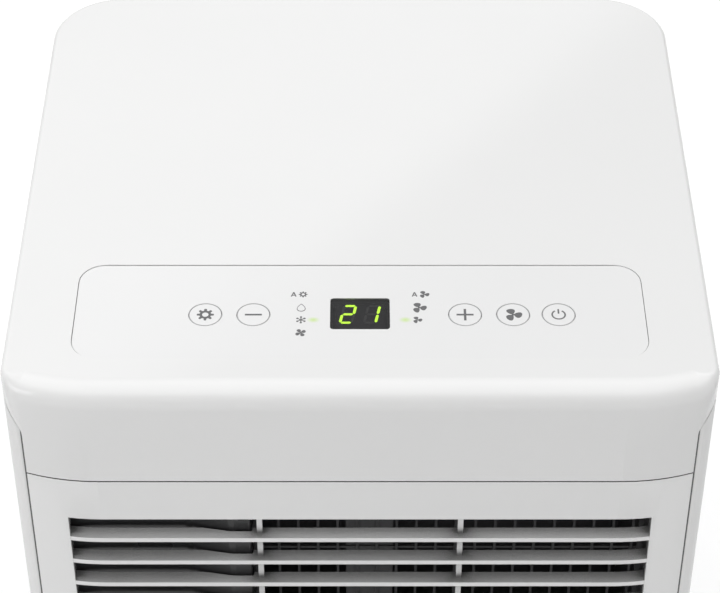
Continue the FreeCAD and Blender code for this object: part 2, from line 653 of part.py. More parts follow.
def guide_shape(x, row, gap, bottom, top):
    y = FRONT_Y + GUIDE_FIRST_SETBACK - row * GUIDE_PITCH
    return block(x - GUIDE_WIDTH / 2 - gap, x + GUIDE_WIDTH / 2 + gap,
                 y - GUIDE_HEIGHT / 2 - gap, y + GUIDE_HEIGHT / 2 + gap, bottom, top)


def control_overlay():
    film = rounded_slab(-OVERLAY_HALF_WIDTH, OVERLAY_HALF_WIDTH, OVERLAY_FRONT_Y, OVERLAY_REAR_Y,
                        OVERLAY_CORNER, OVERLAY_UNDER, OVERLAY_TOP)
    holes = [display_shape(LENS_GAP, OVERLAY_UNDER - 1, OVERLAY_TOP + 1)]
    for x in KEY_X.values():
        holes.append(rod((x, KEY_ROW_Y, OVERLAY_UNDER - 1), (0, 0, 1), KEY_RADIUS + KEY_GAP,
                         OVERLAY_THICKNESS + 2))
    return film.cut(Part.makeCompound(holes))


def key(x):
    """A round key: its face is level with the overlay, and a flange under the cover keeps it in."""
    flange_top = BED_UNDER - KEY_REST_GAP
    flange_under = flange_top - KEY_FLANGE_THICKNESS
    stem_under = BOARD_TOP + SWITCH_BUTTON_TOP + SWITCH_GAP
    face = rod((x, KEY_ROW_Y, flange_under), (0, 0, 1), KEY_RADIUS, OVERLAY_TOP - flange_under)
    flange = rod((x, KEY_ROW_Y, flange_under), (0, 0, 1), KEY_RADIUS + KEY_FLANGE, KEY_FLANGE_THICKNESS)
    stem = rod((x, KEY_ROW_Y, stem_under), (0, 0, 1), KEY_STEM_RADIUS, flange_under - stem_under + 1)
    return joined([face, flange, stem])


def tact_switches():
    pieces = []
    for x in KEY_X.values():
        half = SWITCH_SIDE / 2
        body = block(x - half, x + half, KEY_ROW_Y - half, KEY_ROW_Y + half, BOARD_TOP, BOARD_TOP + SWITCH_HEIGHT)
        button = rod((x, KEY_ROW_Y, BOARD_TOP + 1), (0, 0, 1), SWITCH_BUTTON_RADIUS, SWITCH_BUTTON_TOP - 1)
        pieces.append(joined([body, button]))
    return Part.makeCompound(pieces)


def control_board():
    board = block(-BOARD_HALF_WIDTH, BOARD_HALF_WIDTH, BOARD_FRONT_Y, BOARD_FRONT_Y + BOARD_DEPTH,
                  BOARD_TOP - BOARD_THICKNESS, BOARD_TOP)
    return board


def display_lens():
    return display_shape(0, LENS_UNDER, LENS_UNDER + LENS_THICKNESS)


def led_display():
    return block(-MODULE_WIDTH / 2, MODULE_WIDTH / 2, DISPLAY_Y - MODULE_HEIGHT / 2, DISPLAY_Y + MODULE_HEIGHT / 2,
                 BOARD_TOP, LENS_UNDER - MODULE_GAP)


def light_guides():
    return Part.makeCompound([guide_shape(x, row, 0, BOARD_TOP, OVERLAY_UNDER) for x, row in GUIDE_PLACES])


# ================================================================ rear panel
EXHAUST_REACH = EXHAUST_RADIUS + EXHAUST_FLANGE
CONDENSER_BOTTOM = FLOOR_TOP + CONDENSER_RISE
CONDENSER_TOP = CONDENSER_BOTTOM + CONDENSER_HEIGHT
EXHAUST_BACK_REACH = EXHAUST_REACH + EXHAUST_BACK_FLANGE
EXHAUST_Z = CONDENSER_TOP + EXHAUST_ZONE_GAP + EXHAUST_REACH
UPPER_DRAIN_X = -(EXHAUST_BACK_REACH + REAR_SEAM_X) / 2
DECK_BOTTOM = EXHAUST_Z + EXHAUST_REACH
DECK_TOP = DECK_BOTTOM + DECK_THICKNESS
UPPER_INTAKE = (DECK_TOP + INTAKE_MARGIN, COVER_SEAM_Z - 2 * INTAKE_MARGIN)
LOWER_INTAKE = (BASE_TOP + INTAKE_MARGIN, EXHAUST_Z - EXHAUST_REACH - INTAKE_MARGIN)
INTAKES = {"upper": (UPPER_INTAKE_HALF_WIDTH, *UPPER_INTAKE), "lower": (LOWER_INTAKE_HALF_WIDTH, *LOWER_INTAKE)}
SCREW_HEIGHTS = (BASE_TOP + 14, EXHAUST_Z - EXHAUST_REACH - INTAKE_MARGIN / 2,
                 DECK_TOP + INTAKE_MARGIN / 2, COVER_SEAM_Z - INTAKE_MARGIN)


def screw_places():
    return [(side * (REAR_SEAM_X - SCREW_INSET), z) for side in (-1, 1) for z in SCREW_HEIGHTS]


def drain_pocket(x, z):
    """(solid to add, space to remove) for a round pocket with a spout in it, in the rear face."""
    floor_y = REAR_Y - DRAIN_POCKET_DEPTH
    cup = rod((x, floor_y - WALL, z), (0, 1, 0), DRAIN_POCKET_RADIUS + WALL, DRAIN_POCKET_DEPTH + WALL / 2)
    space = rod((x, floor_y, z), (0, 1, 0), DRAIN_POCKET_RADIUS, DRAIN_POCKET_DEPTH + 1)
    spout = rod((x, floor_y - WALL - 5, z), (0, 1, 0), DRAIN_SPOUT_RADIUS, DRAIN_SPOUT_OUT + WALL + 5)
    bore = rod((x, floor_y - WALL - 6, z), (0, 1, 0), DRAIN_BORE_RADIUS, DRAIN_POCKET_DEPTH + WALL + 6)
    return cup, space, spout, bore


def with_drain(panel, x, z):
    cup, space, spout, bore = drain_pocket(x, z)
    return panel.fuse(cup).cut(space).fuse(spout).cut(bore).removeSplitter()


def rear_panel(skin):
    edge_x = REAR_SEAM_X - SEAM / 2
    zone = block(-edge_x, edge_x, 0, BODY_DEPTH, BASE_TOP + SEAM / 2, COVER_SEAM_Z - SEAM / 2)
    panel = skin.common(zone)
    added = []
    removed = []
    for half_width, bottom, top in INTAKES.values():
        sleeve_y = REAR_Y - INTAKE_DEPTH - FILTER_THICKNESS - SLEEVE_WALL - 1
        reach = SLEEVE_WALL + INTAKE_GAP
        added.append(rounded_plate(-half_width - reach, half_width + reach, bottom - reach, top + reach,
                                   INTAKE_CORNER + reach, sleeve_y, REAR_Y - WALL / 2))
        removed.append(rounded_plate(-half_width - INTAKE_GAP, half_width + INTAKE_GAP,
                                     bottom - INTAKE_GAP, top + INTAKE_GAP, INTAKE_CORNER + INTAKE_GAP,
                                     sleeve_y + SLEEVE_WALL, REAR_Y + 1))
        removed.append(rounded_plate(-half_width + SLEEVE_LEDGE, half_width - SLEEVE_LEDGE,
                                     bottom + SLEEVE_LEDGE, top - SLEEVE_LEDGE, INTAKE_CORNER,
                                     sleeve_y - 1, REAR_Y))
    for x, z in screw_places():
        added.append(rod((x, REAR_Y - SCREW_LENGTH - 3, z), (0, 1, 0), SCREW_BOSS_RADIUS, SCREW_LENGTH + 1))
        removed.append(rod((x, REAR_Y - SCREW_LENGTH - 1, z), (0, 1, 0), SCREW_SHANK_RADIUS + SCREW_CLEARANCE,
                           SCREW_LENGTH + 2))
        removed.append(rod((x, REAR_Y - SCREW_SINK - SCREW_HEAD_THICKNESS, z), (0, 1, 0),
                           SCREW_HEAD_RADIUS + SCREW_CLEARANCE, SCREW_HEAD_THICKNESS + 1))
    removed.append(rod((0, 0, EXHAUST_Z), (0, 1, 0), EXHAUST_REACH + EXHAUST_GAP, BODY_DEPTH))
    removed.append(rod((GLAND_X, 0, BASE_TOP + GLAND_RISE), (0, 1, 0), GLAND_RADIUS, BODY_DEPTH))
    panel = panel.multiFuse(added).cut(Part.makeCompound(removed))
    return with_drain(panel.removeSplitter(), UPPER_DRAIN_X, EXHAUST_Z)


def intake_door(half_width, bottom, top):
    """A louvred door that pulls straight off the rear."""
    y0 = REAR_Y - INTAKE_DEPTH
    door = rounded_plate(-half_width, half_width, bottom, top, INTAKE_CORNER, y0, REAR_Y)
    door = door.cut(block(-half_width + INTAKE_RIM, half_width - INTAKE_RIM, y0 - 1, REAR_Y + 1,
                          bottom + INTAKE_RIM, top - INTAKE_RIM))
    pieces = [door]
    count = int((top - bottom - 2 * INTAKE_RIM) / INTAKE_SLAT_PITCH)
    pitch = (top - bottom - 2 * INTAKE_RIM) / count
    for number in range(1, count):
        z = bottom + INTAKE_RIM + number * pitch
        pieces.append(block(-half_width + 1, half_width - 1, y0 + 1, REAR_Y - 1,
                            z - INTAKE_SLAT_THICKNESS / 2, z + INTAKE_SLAT_THICKNESS / 2))
    rib_count = int((half_width - INTAKE_RIM) / INTAKE_RIB_PITCH)
    for number in range(-rib_count, rib_count + 1):
        x = number * INTAKE_RIB_PITCH
        pieces.append(block(x - INTAKE_RIB_WIDTH / 2, x + INTAKE_RIB_WIDTH / 2, y0, y0 + INTAKE_DEPTH / 2,
                            bottom + 1, top - 1))
    return joined(pieces)


def air_filter(half_width, bottom, top):
    """A thin frame with a net of bars, clipped behind a door."""
    y1 = REAR_Y - INTAKE_DEPTH
    y0 = y1 - FILTER_THICKNESS
    inset = 1.0
    x, z0, z1 = half_width - inset, bottom + inset, top - inset
    frame = rounded_plate(-x, x, z0, z1, INTAKE_CORNER, y0, y1)
    frame = frame.cut(block(-x + FILTER_RIM, x - FILTER_RIM, y0 - 1, y1 + 1, z0 + FILTER_RIM, z1 - FILTER_RIM))
    pieces = [frame]
    across = int(2 * x / FILTER_PITCH)
    for number in range(1, across):
        place = -x + number * 2 * x / across
        pieces.append(block(place - FILTER_BAR / 2, place + FILTER_BAR / 2, y0, y0 + FILTER_BAR, z0 + 1, z1 - 1))
    upright = int((z1 - z0) / FILTER_PITCH)
    for number in range(1, upright):
        place = z0 + number * (z1 - z0) / upright
        pieces.append(block(-x + 1, x - 1, y0, y0 + FILTER_BAR, place - FILTER_BAR / 2, place + FILTER_BAR / 2))
    return joined(pieces)


def exhaust_collar():
    start = (0, REAR_Y - EXHAUST_LENGTH, EXHAUST_Z)
    outer = EXHAUST_RADIUS + EXHAUST_TUBE_WALL
    barrel = rod(start, (0, 1, 0), outer, EXHAUST_LENGTH)
    rim = rod((0, REAR_Y - EXHAUST_FLANGE_THICKNESS, EXHAUST_Z), (0, 1, 0), EXHAUST_REACH,
              EXHAUST_FLANGE_THICKNESS)
    back = rod((0, INNER_REAR_Y - EXHAUST_FLANGE_THICKNESS, EXHAUST_Z), (0, 1, 0),
               EXHAUST_BACK_REACH, EXHAUST_FLANGE_THICKNESS)
    bore = rod((0, REAR_Y - EXHAUST_LENGTH - 1, EXHAUST_Z), (0, 1, 0), EXHAUST_RADIUS, EXHAUST_LENGTH + 2)
    return joined([barrel, rim, back]).cut(bore)


def drain_cap(x, z):
    """A fluted screw cap over a spout, with a stopper that goes into it."""
    seat_y = REAR_Y - DRAIN_POCKET_DEPTH + 1.5
    face_y = REAR_Y - 1.0
    cap = rod((x, seat_y, z), (0, 1, 0), DRAIN_CAP_RADIUS, face_y - seat_y)
    spout_end = REAR_Y - DRAIN_POCKET_DEPTH + DRAIN_SPOUT_OUT
    cap = cap.cut(rod((x, seat_y - 1, z), (0, 1, 0), DRAIN_SPOUT_RADIUS + DRAIN_CAP_CLEARANCE,
                      spout_end + 0.3 - seat_y + 1))
    stopper = rod((x, spout_end - 5, z), (0, 1, 0), DRAIN_BORE_RADIUS - DRAIN_CAP_CLEARANCE, 6)
    flutes = []
    for number in range(DRAIN_CAP_FLUTES):
        angle = 2 * math.pi * number / DRAIN_CAP_FLUTES
        reach = DRAIN_CAP_RADIUS + 0.8
        flutes.append(rod((x + reach * math.cos(angle), seat_y - 1, z + reach * math.sin(angle)), (0, 1, 0),
                          1.5, face_y - seat_y + 2))
    return cap.fuse(stopper).cut(Part.makeCompound(flutes)).removeSplitter()


def cord_gland():
    z = BASE_TOP + GLAND_RISE
    sleeve = rod((GLAND_X, INNER_REAR_Y - 8, z), (0, 1, 0), GLAND_RADIUS, 8 + WALL)
    flange = rod((GLAND_X, INNER_REAR_Y - 3, z), (0, 1, 0), GLAND_RADIUS + GLAND_FLANGE, 3)
    bore = rod((GLAND_X, INNER_REAR_Y - 9, z), (0, 1, 0), GLAND_BORE_RADIUS, 20)
    return joined([sleeve, flange]).cut(bore)


def panel_screws():
    screws = []
    for x, z in screw_places():
        head_y = REAR_Y - SCREW_SINK - SCREW_HEAD_THICKNESS
        head = rod((x, head_y, z), (0, 1, 0), SCREW_HEAD_RADIUS, SCREW_HEAD_THICKNESS)
        shank = rod((x, REAR_Y - SCREW_LENGTH, z), (0, 1, 0), SCREW_SHANK_RADIUS, SCREW_LENGTH - 1)
        slot = Part.makeCompound([block(x - 2.2, x + 2.2, head_y + 1, REAR_Y, z - 0.45, z + 0.45),
                                  block(x - 0.45, x + 0.45, head_y + 1, REAR_Y, z - 2.2, z + 2.2)])
        screws.append(head.fuse(shank).cut(slot).removeSplitter())
    return Part.makeCompound(screws)


# ================================================================ base tray and casters
def base_tray():
    outside = prism(0, SKIRT_BOTTOM, BASE_TOP - SEAM / 2)
    outside = edge_round(outside, BASE_FOOT_RADIUS, lambda e: e.BoundBox.ZMax < SKIRT_BOTTOM + 1e-6)
    tray = outside.cut(prism(BASE_WALL, FLOOR_TOP, BASE_TOP)).cut(prism(BASE_WALL, SKIRT_BOTTOM - 1, FLOOR_UNDER))
    sockets = [ring(BASE_TOP - 2 * TONGUE_REACH, BASE_TOP + TONGUE_REACH)]
    bores = []
    for x, y in CASTER_PLACES.values():
        sockets.append(rod((x, y, FLOOR_UNDER), (0, 0, 1), STEM_RADIUS + SOCKET_WALL, STEM_LENGTH + 3))
        bores.append(rod((x, y, FLOOR_UNDER - 1), (0, 0, 1), STEM_RADIUS + STEM_CLEARANCE, STEM_LENGTH + 1.5))
    for side in (-1, 1):
        x = side * (COIL_HALF_WIDTH - 12)
        sockets.append(block(x - 6, x + 6, COIL_FRONT_Y, COIL_REAR_Y, FLOOR_UNDER + 1, CONDENSER_BOTTOM))
    tray = tray.multiFuse(sockets).cut(Part.makeCompound(bores)).removeSplitter()
    return with_drain(tray, LOWER_DRAIN_X, FLOOR_TOP + LOWER_DRAIN_RISE)


def caster_fork(x, y):
    """The swivelling part: a stem, a disc, a web with the axle through it, and a hood over the wheels."""
    top = FLOOR_UNDER - FORK_TOP_GAP
    axle_y = y + FORK_TRAIL
    stem = rod((x, y, top - 1), (0, 0, 1), STEM_RADIUS, STEM_LENGTH + FORK_TOP_GAP + 1 - 0.5)
    disc = rod((x, y, top - FORK_DISC_THICKNESS), (0, 0, 1), FORK_DISC_RADIUS, FORK_DISC_THICKNESS)
    hood_out = WHEEL_RADIUS + HOOD_GAP + HOOD_WALL
    width = FORK_WEB + 2 * (WHEEL_WIDTH + WHEEL_SIDE_GAP)
    web = rod((x - FORK_WEB / 2, axle_y, WHEEL_RADIUS), (1, 0, 0), hood_out, FORK_WEB)
    web = web.common(block(x - width, x + width, y - 40, y + 40, WHEEL_RADIUS - 6, top))
    neck = block(x - FORK_WEB / 2, x + FORK_WEB / 2, y - FORK_WEB, axle_y, WHEEL_RADIUS + 8, top - 1)
    hood = tube((x - width / 2, axle_y, WHEEL_RADIUS), (1, 0, 0), hood_out, hood_out - HOOD_WALL, width)
    hood = hood.common(block(x - width, x + width, axle_y - 40, axle_y + 40, WHEEL_RADIUS + 3, top - 0.5))
    hood = hood.cut(block(x - width, x + width, y - 40, axle_y - 12, 0, WHEEL_RADIUS + 12))
    axle = rod((x - width / 2, axle_y, WHEEL_RADIUS), (1, 0, 0), AXLE_RADIUS, width)
    return joined([stem, disc, web, neck, hood, axle])


def caster_wheels(x, y):
    """A pair of wheels, one each side of the web."""
    wheels = []
    centre_y = y + FORK_TRAIL
    for side in (-1, 1):
        inner_x = x + side * (FORK_WEB / 2 + WHEEL_SIDE_GAP)
        start_x = min(inner_x, inner_x + side * WHEEL_WIDTH)
        wheel = rod((start_x, centre_y, WHEEL_RADIUS), (1, 0, 0), WHEEL_RADIUS, WHEEL_WIDTH)
        wheel = edge_round(wheel, WHEEL_TREAD_ROUND, lambda e: e.BoundBox.ZLength > WHEEL_RADIUS)
        face_x = start_x + WHEEL_WIDTH - 2 if side > 0 else start_x - 1
        dish = tube((face_x, centre_y, WHEEL_RADIUS), (1, 0, 0), WHEEL_RADIUS - 5, AXLE_RADIUS + 3, 3)
        bore = rod((start_x - 1, centre_y, WHEEL_RADIUS), (1, 0, 0), AXLE_RADIUS + STEM_CLEARANCE, WHEEL_WIDTH + 2)
        wheels.append(wheel.cut(dish).cut(bore))
    return Part.makeCompound(wheels)


# ================================================================ refrigeration and air handling
COIL_HALF_WIDTH = HALF_WIDTH - COIL_SIDE_MARGIN
COIL_REAR_Y = INNER_REAR_Y - COIL_REAR_GAP
COIL_FRONT_Y = COIL_REAR_Y - COIL_DEPTH
COIL_ROWS = (COIL_FRONT_Y + COIL_DEPTH / 4, COIL_REAR_Y - COIL_DEPTH / 4)
COIL_END_X = COIL_HALF_WIDTH + COIL_STUB + COIL_BEND
EVAPORATOR_BOTTOM = DECK_TOP + TRAY_WALL + TRAY_RIB
EVAPORATOR_TOP = COVER_SEAM_Z - COIL_TOP_GAP
TRAY_DEPTH = TRAY_WALL + TRAY_RIB + COIL_TUBE_PITCH / 2 - SUCTION_RADIUS - TRAY_PIPE_GAP
FAN_REAR_Y = COIL_FRONT_Y - FAN_COIL_GAP
FAN_FRONT_Y = FAN_REAR_Y - FAN_DEPTH
EVAP_FAN_Z = THROAT_TOP - THROAT_HEIGHT - MOTOR_THROAT_GAP - MOTOR_RADIUS
EVAP_FAN_RADIUS = min(EVAP_FAN_LARGEST, EVAP_FAN_Z - DECK_TOP - EVAP_FAN_CLEAR)
COND_FAN_Z = FLOOR_TOP + COND_FAN_RISE
PIPE_X = COIL_END_X + PIPE_OUT


def tube_levels(bottom, top):
    """Heights of a coil's tubes, centred between its bottom and top."""
    count = int((top - bottom) / COIL_TUBE_PITCH)
    first = (bottom + top - (count - 1) * COIL_TUBE_PITCH) / 2
    return [first + number * COIL_TUBE_PITCH for number in range(count)]


EVAPORATOR_TUBES = tube_levels(EVAPORATOR_BOTTOM, EVAPORATOR_TOP)
CONDENSER_TUBES = tube_levels(CONDENSER_BOTTOM, CONDENSER_TOP)


def coil(bottom, top):
    """A finned heat exchanger: two rows of tubes with bends at their ends, fins and two end plates."""
    pieces = []
    for z in tube_levels(bottom, top):
        for y in COIL_ROWS:
            reach = COIL_HALF_WIDTH + COIL_STUB
            pieces.append(rod((-reach, y, z), (1, 0, 0), COIL_TUBE_RADIUS, 2 * reach))
        bend = block(-COIL_END_X, COIL_END_X, COIL_ROWS[0] - COIL_TUBE_RADIUS, COIL_ROWS[1] + COIL_TUBE_RADIUS,
                     z - COIL_TUBE_RADIUS, z + COIL_TUBE_RADIUS)
        pieces.append(bend.cut(block(-reach, reach, COIL_FRONT_Y, COIL_REAR_Y, bottom, top)))
    spacing = (2 * COIL_HALF_WIDTH - COIL_PLATE) / (COIL_FIN_COUNT + 1)
    for number in range(COIL_FIN_COUNT + 2):
        x = -COIL_HALF_WIDTH + COIL_PLATE / 2 + number * spacing
        half = COIL_FIN / 2 if 0 < number <= COIL_FIN_COUNT else COIL_PLATE / 2
        pieces.append(block(x - half, x + half, COIL_FRONT_Y, COIL_REAR_Y, bottom, top))
    return joined(pieces)


def volute(x, z, radius, wall, y0, y1, mouth_top):
    """A blower housing's outline: three quarter arcs, each wider than the last, from the tongue over the
    wheel, round by the left and the bottom, to its right side, then a straight throat that goes up."""
    radius = radius - wall
    tongue = Vector(x, y0, z + radius)
    here = tongue
    angle = math.pi / 2
    edges = []
    for _ in range(3):
        centre_x = here.x - radius * math.cos(angle)
        centre_z = here.z - radius * math.sin(angle)
        points = []
        for turned in (angle, angle + math.pi / 4, angle + math.pi / 2):
            points.append(Vector(centre_x + radius * math.cos(turned), y0, centre_z + radius * math.sin(turned)))
        edges.append(Part.Arc(*points).toShape())
        here = points[-1]
        angle += math.pi / 2
        radius += FAN_GROWTH
    corners = [here, Vector(here.x, y0, mouth_top), Vector(x + wall, y0, mouth_top)]
    if wall:
        corners.append(Vector(x + wall, y0, tongue.z))
    corners.append(tongue)
    edges += Part.makePolygon(corners).Edges
    return Part.Face(Part.Wire(edges)).extrude(Vector(0, y1 - y0, 0))


def blower_housing(x, z, wheel_radius, mouth_top, open_top, floor_z):
    """A spiral box round a wheel, with its inlet facing the coil, on two legs."""
    radius = wheel_radius + FAN_RIM_GAP + FAN_WALL
    outer = volute(x, z, radius, 0, FAN_FRONT_Y, FAN_REAR_Y, mouth_top)
    inner_top = mouth_top + 1 if open_top else mouth_top - FAN_WALL
    inner = volute(x, z, radius, FAN_WALL, FAN_FRONT_Y + FAN_WALL, FAN_REAR_Y - FAN_WALL, inner_top)
    legs = []
    for side in (-1, 1):
        leg_x = x + side * wheel_radius / 2
        leg = block(leg_x - 4, leg_x + 4, FAN_FRONT_Y + 8, FAN_REAR_Y - 8, floor_z, z)
        legs.append(leg.cut(volute(x, z, radius, FAN_WALL / 2, FAN_FRONT_Y, FAN_REAR_Y, mouth_top)))
    housing = outer.cut(inner).multiFuse(legs)
    inlet = rod((x, FAN_REAR_Y - FAN_WALL - 1, z), (0, 1, 0), wheel_radius - BLADE_SPAN, FAN_WALL + 2)
    shaft_hole = rod((x, FAN_FRONT_Y - 1, z), (0, 1, 0), SHAFT_RADIUS + 2, FAN_WALL + 2)
    return housing.cut(inlet).cut(shaft_hole).removeSplitter()


def fan_wheel(x, z, radius):
    """A squirrel-cage wheel on its shaft: a back plate with a hub, curved blades and an inlet ring."""
    y0 = FAN_FRONT_Y + FAN_WALL + FAN_SIDE_GAP
    y1 = FAN_REAR_Y - FAN_WALL - FAN_SIDE_GAP
    back = rod((x, y0, z), (0, 1, 0), radius, 2.0)
    rim = tube((x, y1 - 3, z), (0, 1, 0), radius, radius - BLADE_SPAN, 3.0)
    hub = rod((x, y0, z), (0, 1, 0), HUB_RADIUS, HUB_LENGTH)
    shaft = rod((x, FAN_FRONT_Y - SHAFT_INTO_MOTOR, z), (0, 1, 0), SHAFT_RADIUS,
                y0 - FAN_FRONT_Y + SHAFT_INTO_MOTOR + 1)
    inner, outer = radius - BLADE_SPAN + 0.6, radius - 0.6
    start = Vector(inner, 0, 0)
    lead = math.radians(9)
    end = Vector(outer * math.cos(lead), 0, outer * math.sin(lead))
    chord = end - start
    normal = Vector(chord.z, 0, -chord.x).normalize()
    middle = (start + end) * 0.5 + normal * (chord.Length / 6)
    shift = normal * BLADE_THICKNESS
    outline = [Part.Arc(start, middle, end).toShape(), Part.makeLine(end, end + shift),
               Part.Arc(end + shift, middle + shift, start + shift).toShape(),
               Part.makeLine(start + shift, start)]
    blade = Part.Face(Part.Wire(outline)).extrude(Vector(0, y1 - y0 - 2, 0))
    blade.translate(Vector(x, y0 + 1, z))
    blades = []
    for number in range(FAN_BLADES):
        blades.append(blade.rotated(Vector(x, 0, z), Vector(0, 1, 0), 360 * number / FAN_BLADES))
    return joined([back, rim, hub, shaft] + blades)


def fan_motor(x, z):
    """A motor bolted to the front of a blower housing."""
    body = rod((x, FAN_FRONT_Y - MOTOR_LENGTH, z), (0, 1, 0), MOTOR_RADIUS, MOTOR_LENGTH)
    body = edge_round(body, MOTOR_EDGE, lambda e: e.BoundBox.YMax < FAN_FRONT_Y - MOTOR_LENGTH + 1e-6)
    flange = rod((x, FAN_FRONT_Y - 3, z), (0, 1, 0), MOTOR_RADIUS + 2, 3)
    bore = rod((x, FAN_FRONT_Y - SHAFT_INTO_MOTOR - 2, z), (0, 1, 0), SHAFT_RADIUS + STEM_CLEARANCE,
               SHAFT_INTO_MOTOR + 3)
    return joined([body, flange]).cut(bore)


def outlet_duct():
    """The plenum behind the guard grid, and the throat that brings the air to it beside the motor."""
    front = FRONT_Y + SLAT_DEPTH
    wall = DUCT_WALL
    throat_right = PLENUM_RIGHT - 30
    outer = block(PLENUM_LEFT - wall, PLENUM_RIGHT + wall, front, PLENUM_REAR_Y, PLENUM_BOTTOM - wall,
                  PLENUM_TOP + wall)
    inner = block(PLENUM_LEFT, PLENUM_RIGHT, front - 1, PLENUM_REAR_Y - wall, PLENUM_BOTTOM, PLENUM_TOP)
    throat = block(throat_right - THROAT_WIDTH, throat_right, PLENUM_REAR_Y - wall / 2, FAN_FRONT_Y,
                   THROAT_TOP - THROAT_HEIGHT, THROAT_TOP)
    passage = block(throat_right - THROAT_WIDTH + wall, throat_right - wall, PLENUM_REAR_Y - wall - 1,
                    FAN_FRONT_Y + 1, THROAT_TOP - THROAT_HEIGHT + wall, THROAT_TOP - wall)
    duct = outer.fuse(throat).cut(inner).cut(passage)
    for_baffle = block(PLENUM_LEFT - wall - 1, PLENUM_LEFT, front - 1, GRID_Y, WINDOW_BOTTOM, WINDOW_TOP)
    inside = prism(0, BASE_TOP, BODY_HEIGHT).translate(Vector(0, SLAT_DEPTH, 0))
    return duct.cut(for_baffle).common(inside).removeSplitter()


def evaporator_housing():
    """The upper blower housing. Its front plate opens into the outlet duct's throat."""
    housing = blower_housing(EVAP_FAN_X, EVAP_FAN_Z, EVAP_FAN_RADIUS, COVER_SEAM_Z - EVAP_FAN_HEADROOM,
                             False, DECK_TOP)
    wall = DUCT_WALL
    right = min(PLENUM_RIGHT - 30, EVAP_FAN_X + EVAP_FAN_RADIUS + FAN_RIM_GAP) - wall
    top = PLENUM_TOP - THROAT_TOP_DROP - wall
    return housing.cut(block(PLENUM_RIGHT - 30 - THROAT_WIDTH + wall, right, FAN_FRONT_Y - 1,
                             FAN_FRONT_Y + FAN_WALL + 1, top - THROAT_HEIGHT + 2 * wall, top))


def exhaust_duct():
    """The box that takes the hot air from the lower blower's throat to the round outlet."""
    half = EXHAUST_REACH + 2
    y1 = REAR_Y - EXHAUST_LENGTH
    bottom = CONDENSER_TOP + 6
    duct = block(-half, half, FAN_FRONT_Y, y1, bottom, DECK_BOTTOM)
    duct = duct.cut(block(-half + DUCT_WALL, half - DUCT_WALL, FAN_FRONT_Y + DUCT_WALL, y1 - DUCT_WALL,
                          bottom + DUCT_WALL, DECK_BOTTOM - DUCT_WALL))
    outlet = rod((0, y1 - 10, EXHAUST_Z), (0, 1, 0), EXHAUST_RADIUS, 11)
    radius = COND_FAN_RADIUS + FAN_RIM_GAP + FAN_WALL
    mouth = volute(COND_FAN_X, COND_FAN_Z, radius, FAN_WALL, FAN_FRONT_Y + FAN_WALL, FAN_REAR_Y - FAN_WALL,
                   bottom + DUCT_WALL + 1)
    return duct.cut(outlet).cut(mouth)


def mid_deck():
    deck = block(-INNER_X, INNER_X, FRONT_Y + DECK_SETBACK, INNER_REAR_Y - DECK_REAR_GAP, DECK_BOTTOM, DECK_TOP)
    deck = deck.common(prism(WALL, DECK_BOTTOM - 1, DECK_TOP + 1))
    reach = WINDOW_HALF_WIDTH + GRILLE_RIM + DECK_DUCT_GAP
    under = PLENUM_BOTTOM - DUCT_WALL - DECK_DUCT_GAP
    deck = deck.cut(block(-reach, reach, FRONT_Y, GRID_Y + GRID_DEPTH + DECK_DUCT_GAP, under, WINDOW_TOP))
    deck = deck.cut(block(PLENUM_LEFT - DUCT_WALL - DECK_DUCT_GAP, reach, FRONT_Y,
                          PLENUM_REAR_Y + DECK_DUCT_GAP, under, WINDOW_TOP))
    for x, y, radius in ((PIPE_X, COIL_ROWS[0], SUCTION_RADIUS), (-PIPE_X, COIL_ROWS[0], PIPE_RADIUS)):
        deck = deck.cut(rod((x, y, DECK_BOTTOM - 1), (0, 0, 1), radius + DECK_HOLE_GAP, DECK_THICKNESS + 2))
    return deck


def drip_tray():
    """A shallow tray under the evaporator, with two ribs that carry it."""
    half = COIL_END_X + 2
    y0, y1 = COIL_FRONT_Y - 5, COIL_REAR_Y + 5
    tray = block(-half, half, y0, y1, DECK_TOP, DECK_TOP + TRAY_DEPTH)
    tray = tray.cut(block(-half + TRAY_WALL, half - TRAY_WALL, y0 + TRAY_WALL, y1 - TRAY_WALL,
                          DECK_TOP + TRAY_WALL, DECK_TOP + TRAY_DEPTH + 1))
    ribs = []
    for side in (-1, 1):
        x = side * COIL_HALF_WIDTH / 2
        ribs.append(block(x - 3, x + 3, y0 + 1, y1 - 1, DECK_TOP + 1, EVAPORATOR_BOTTOM))
    return joined([tray] + ribs)


COMPRESSOR_X = INNER_X - COMPRESSOR_SIDE_GAP - COMPRESSOR_RADIUS
COMPRESSOR_Y = FRONT_Y + COMPRESSOR_FRONT_GAP + COMPRESSOR_RADIUS
COMPRESSOR_BOTTOM = FLOOR_TOP + RUBBER_FOOT_HEIGHT
COMPRESSOR_TOP = COMPRESSOR_BOTTOM + COMPRESSOR_HEIGHT
ACCUMULATOR_REACH = COMPRESSOR_RADIUS + ACCUMULATOR_GAP + ACCUMULATOR_RADIUS
ACCUMULATOR_X = COMPRESSOR_X + ACCUMULATOR_REACH * math.cos(math.radians(60))
ACCUMULATOR_Y = COMPRESSOR_Y + ACCUMULATOR_REACH * math.sin(math.radians(60))
ACCUMULATOR_BOTTOM = COMPRESSOR_BOTTOM + 40
ACCUMULATOR_TOP = ACCUMULATOR_BOTTOM + ACCUMULATOR_HEIGHT


def foot_places():
    places = []
    for angle in (30, 150, 270):
        turned = math.radians(angle)
        places.append((COMPRESSOR_X + COMPRESSOR_FOOT_REACH * math.cos(turned),
                       COMPRESSOR_Y + COMPRESSOR_FOOT_REACH * math.sin(turned)))
    return places


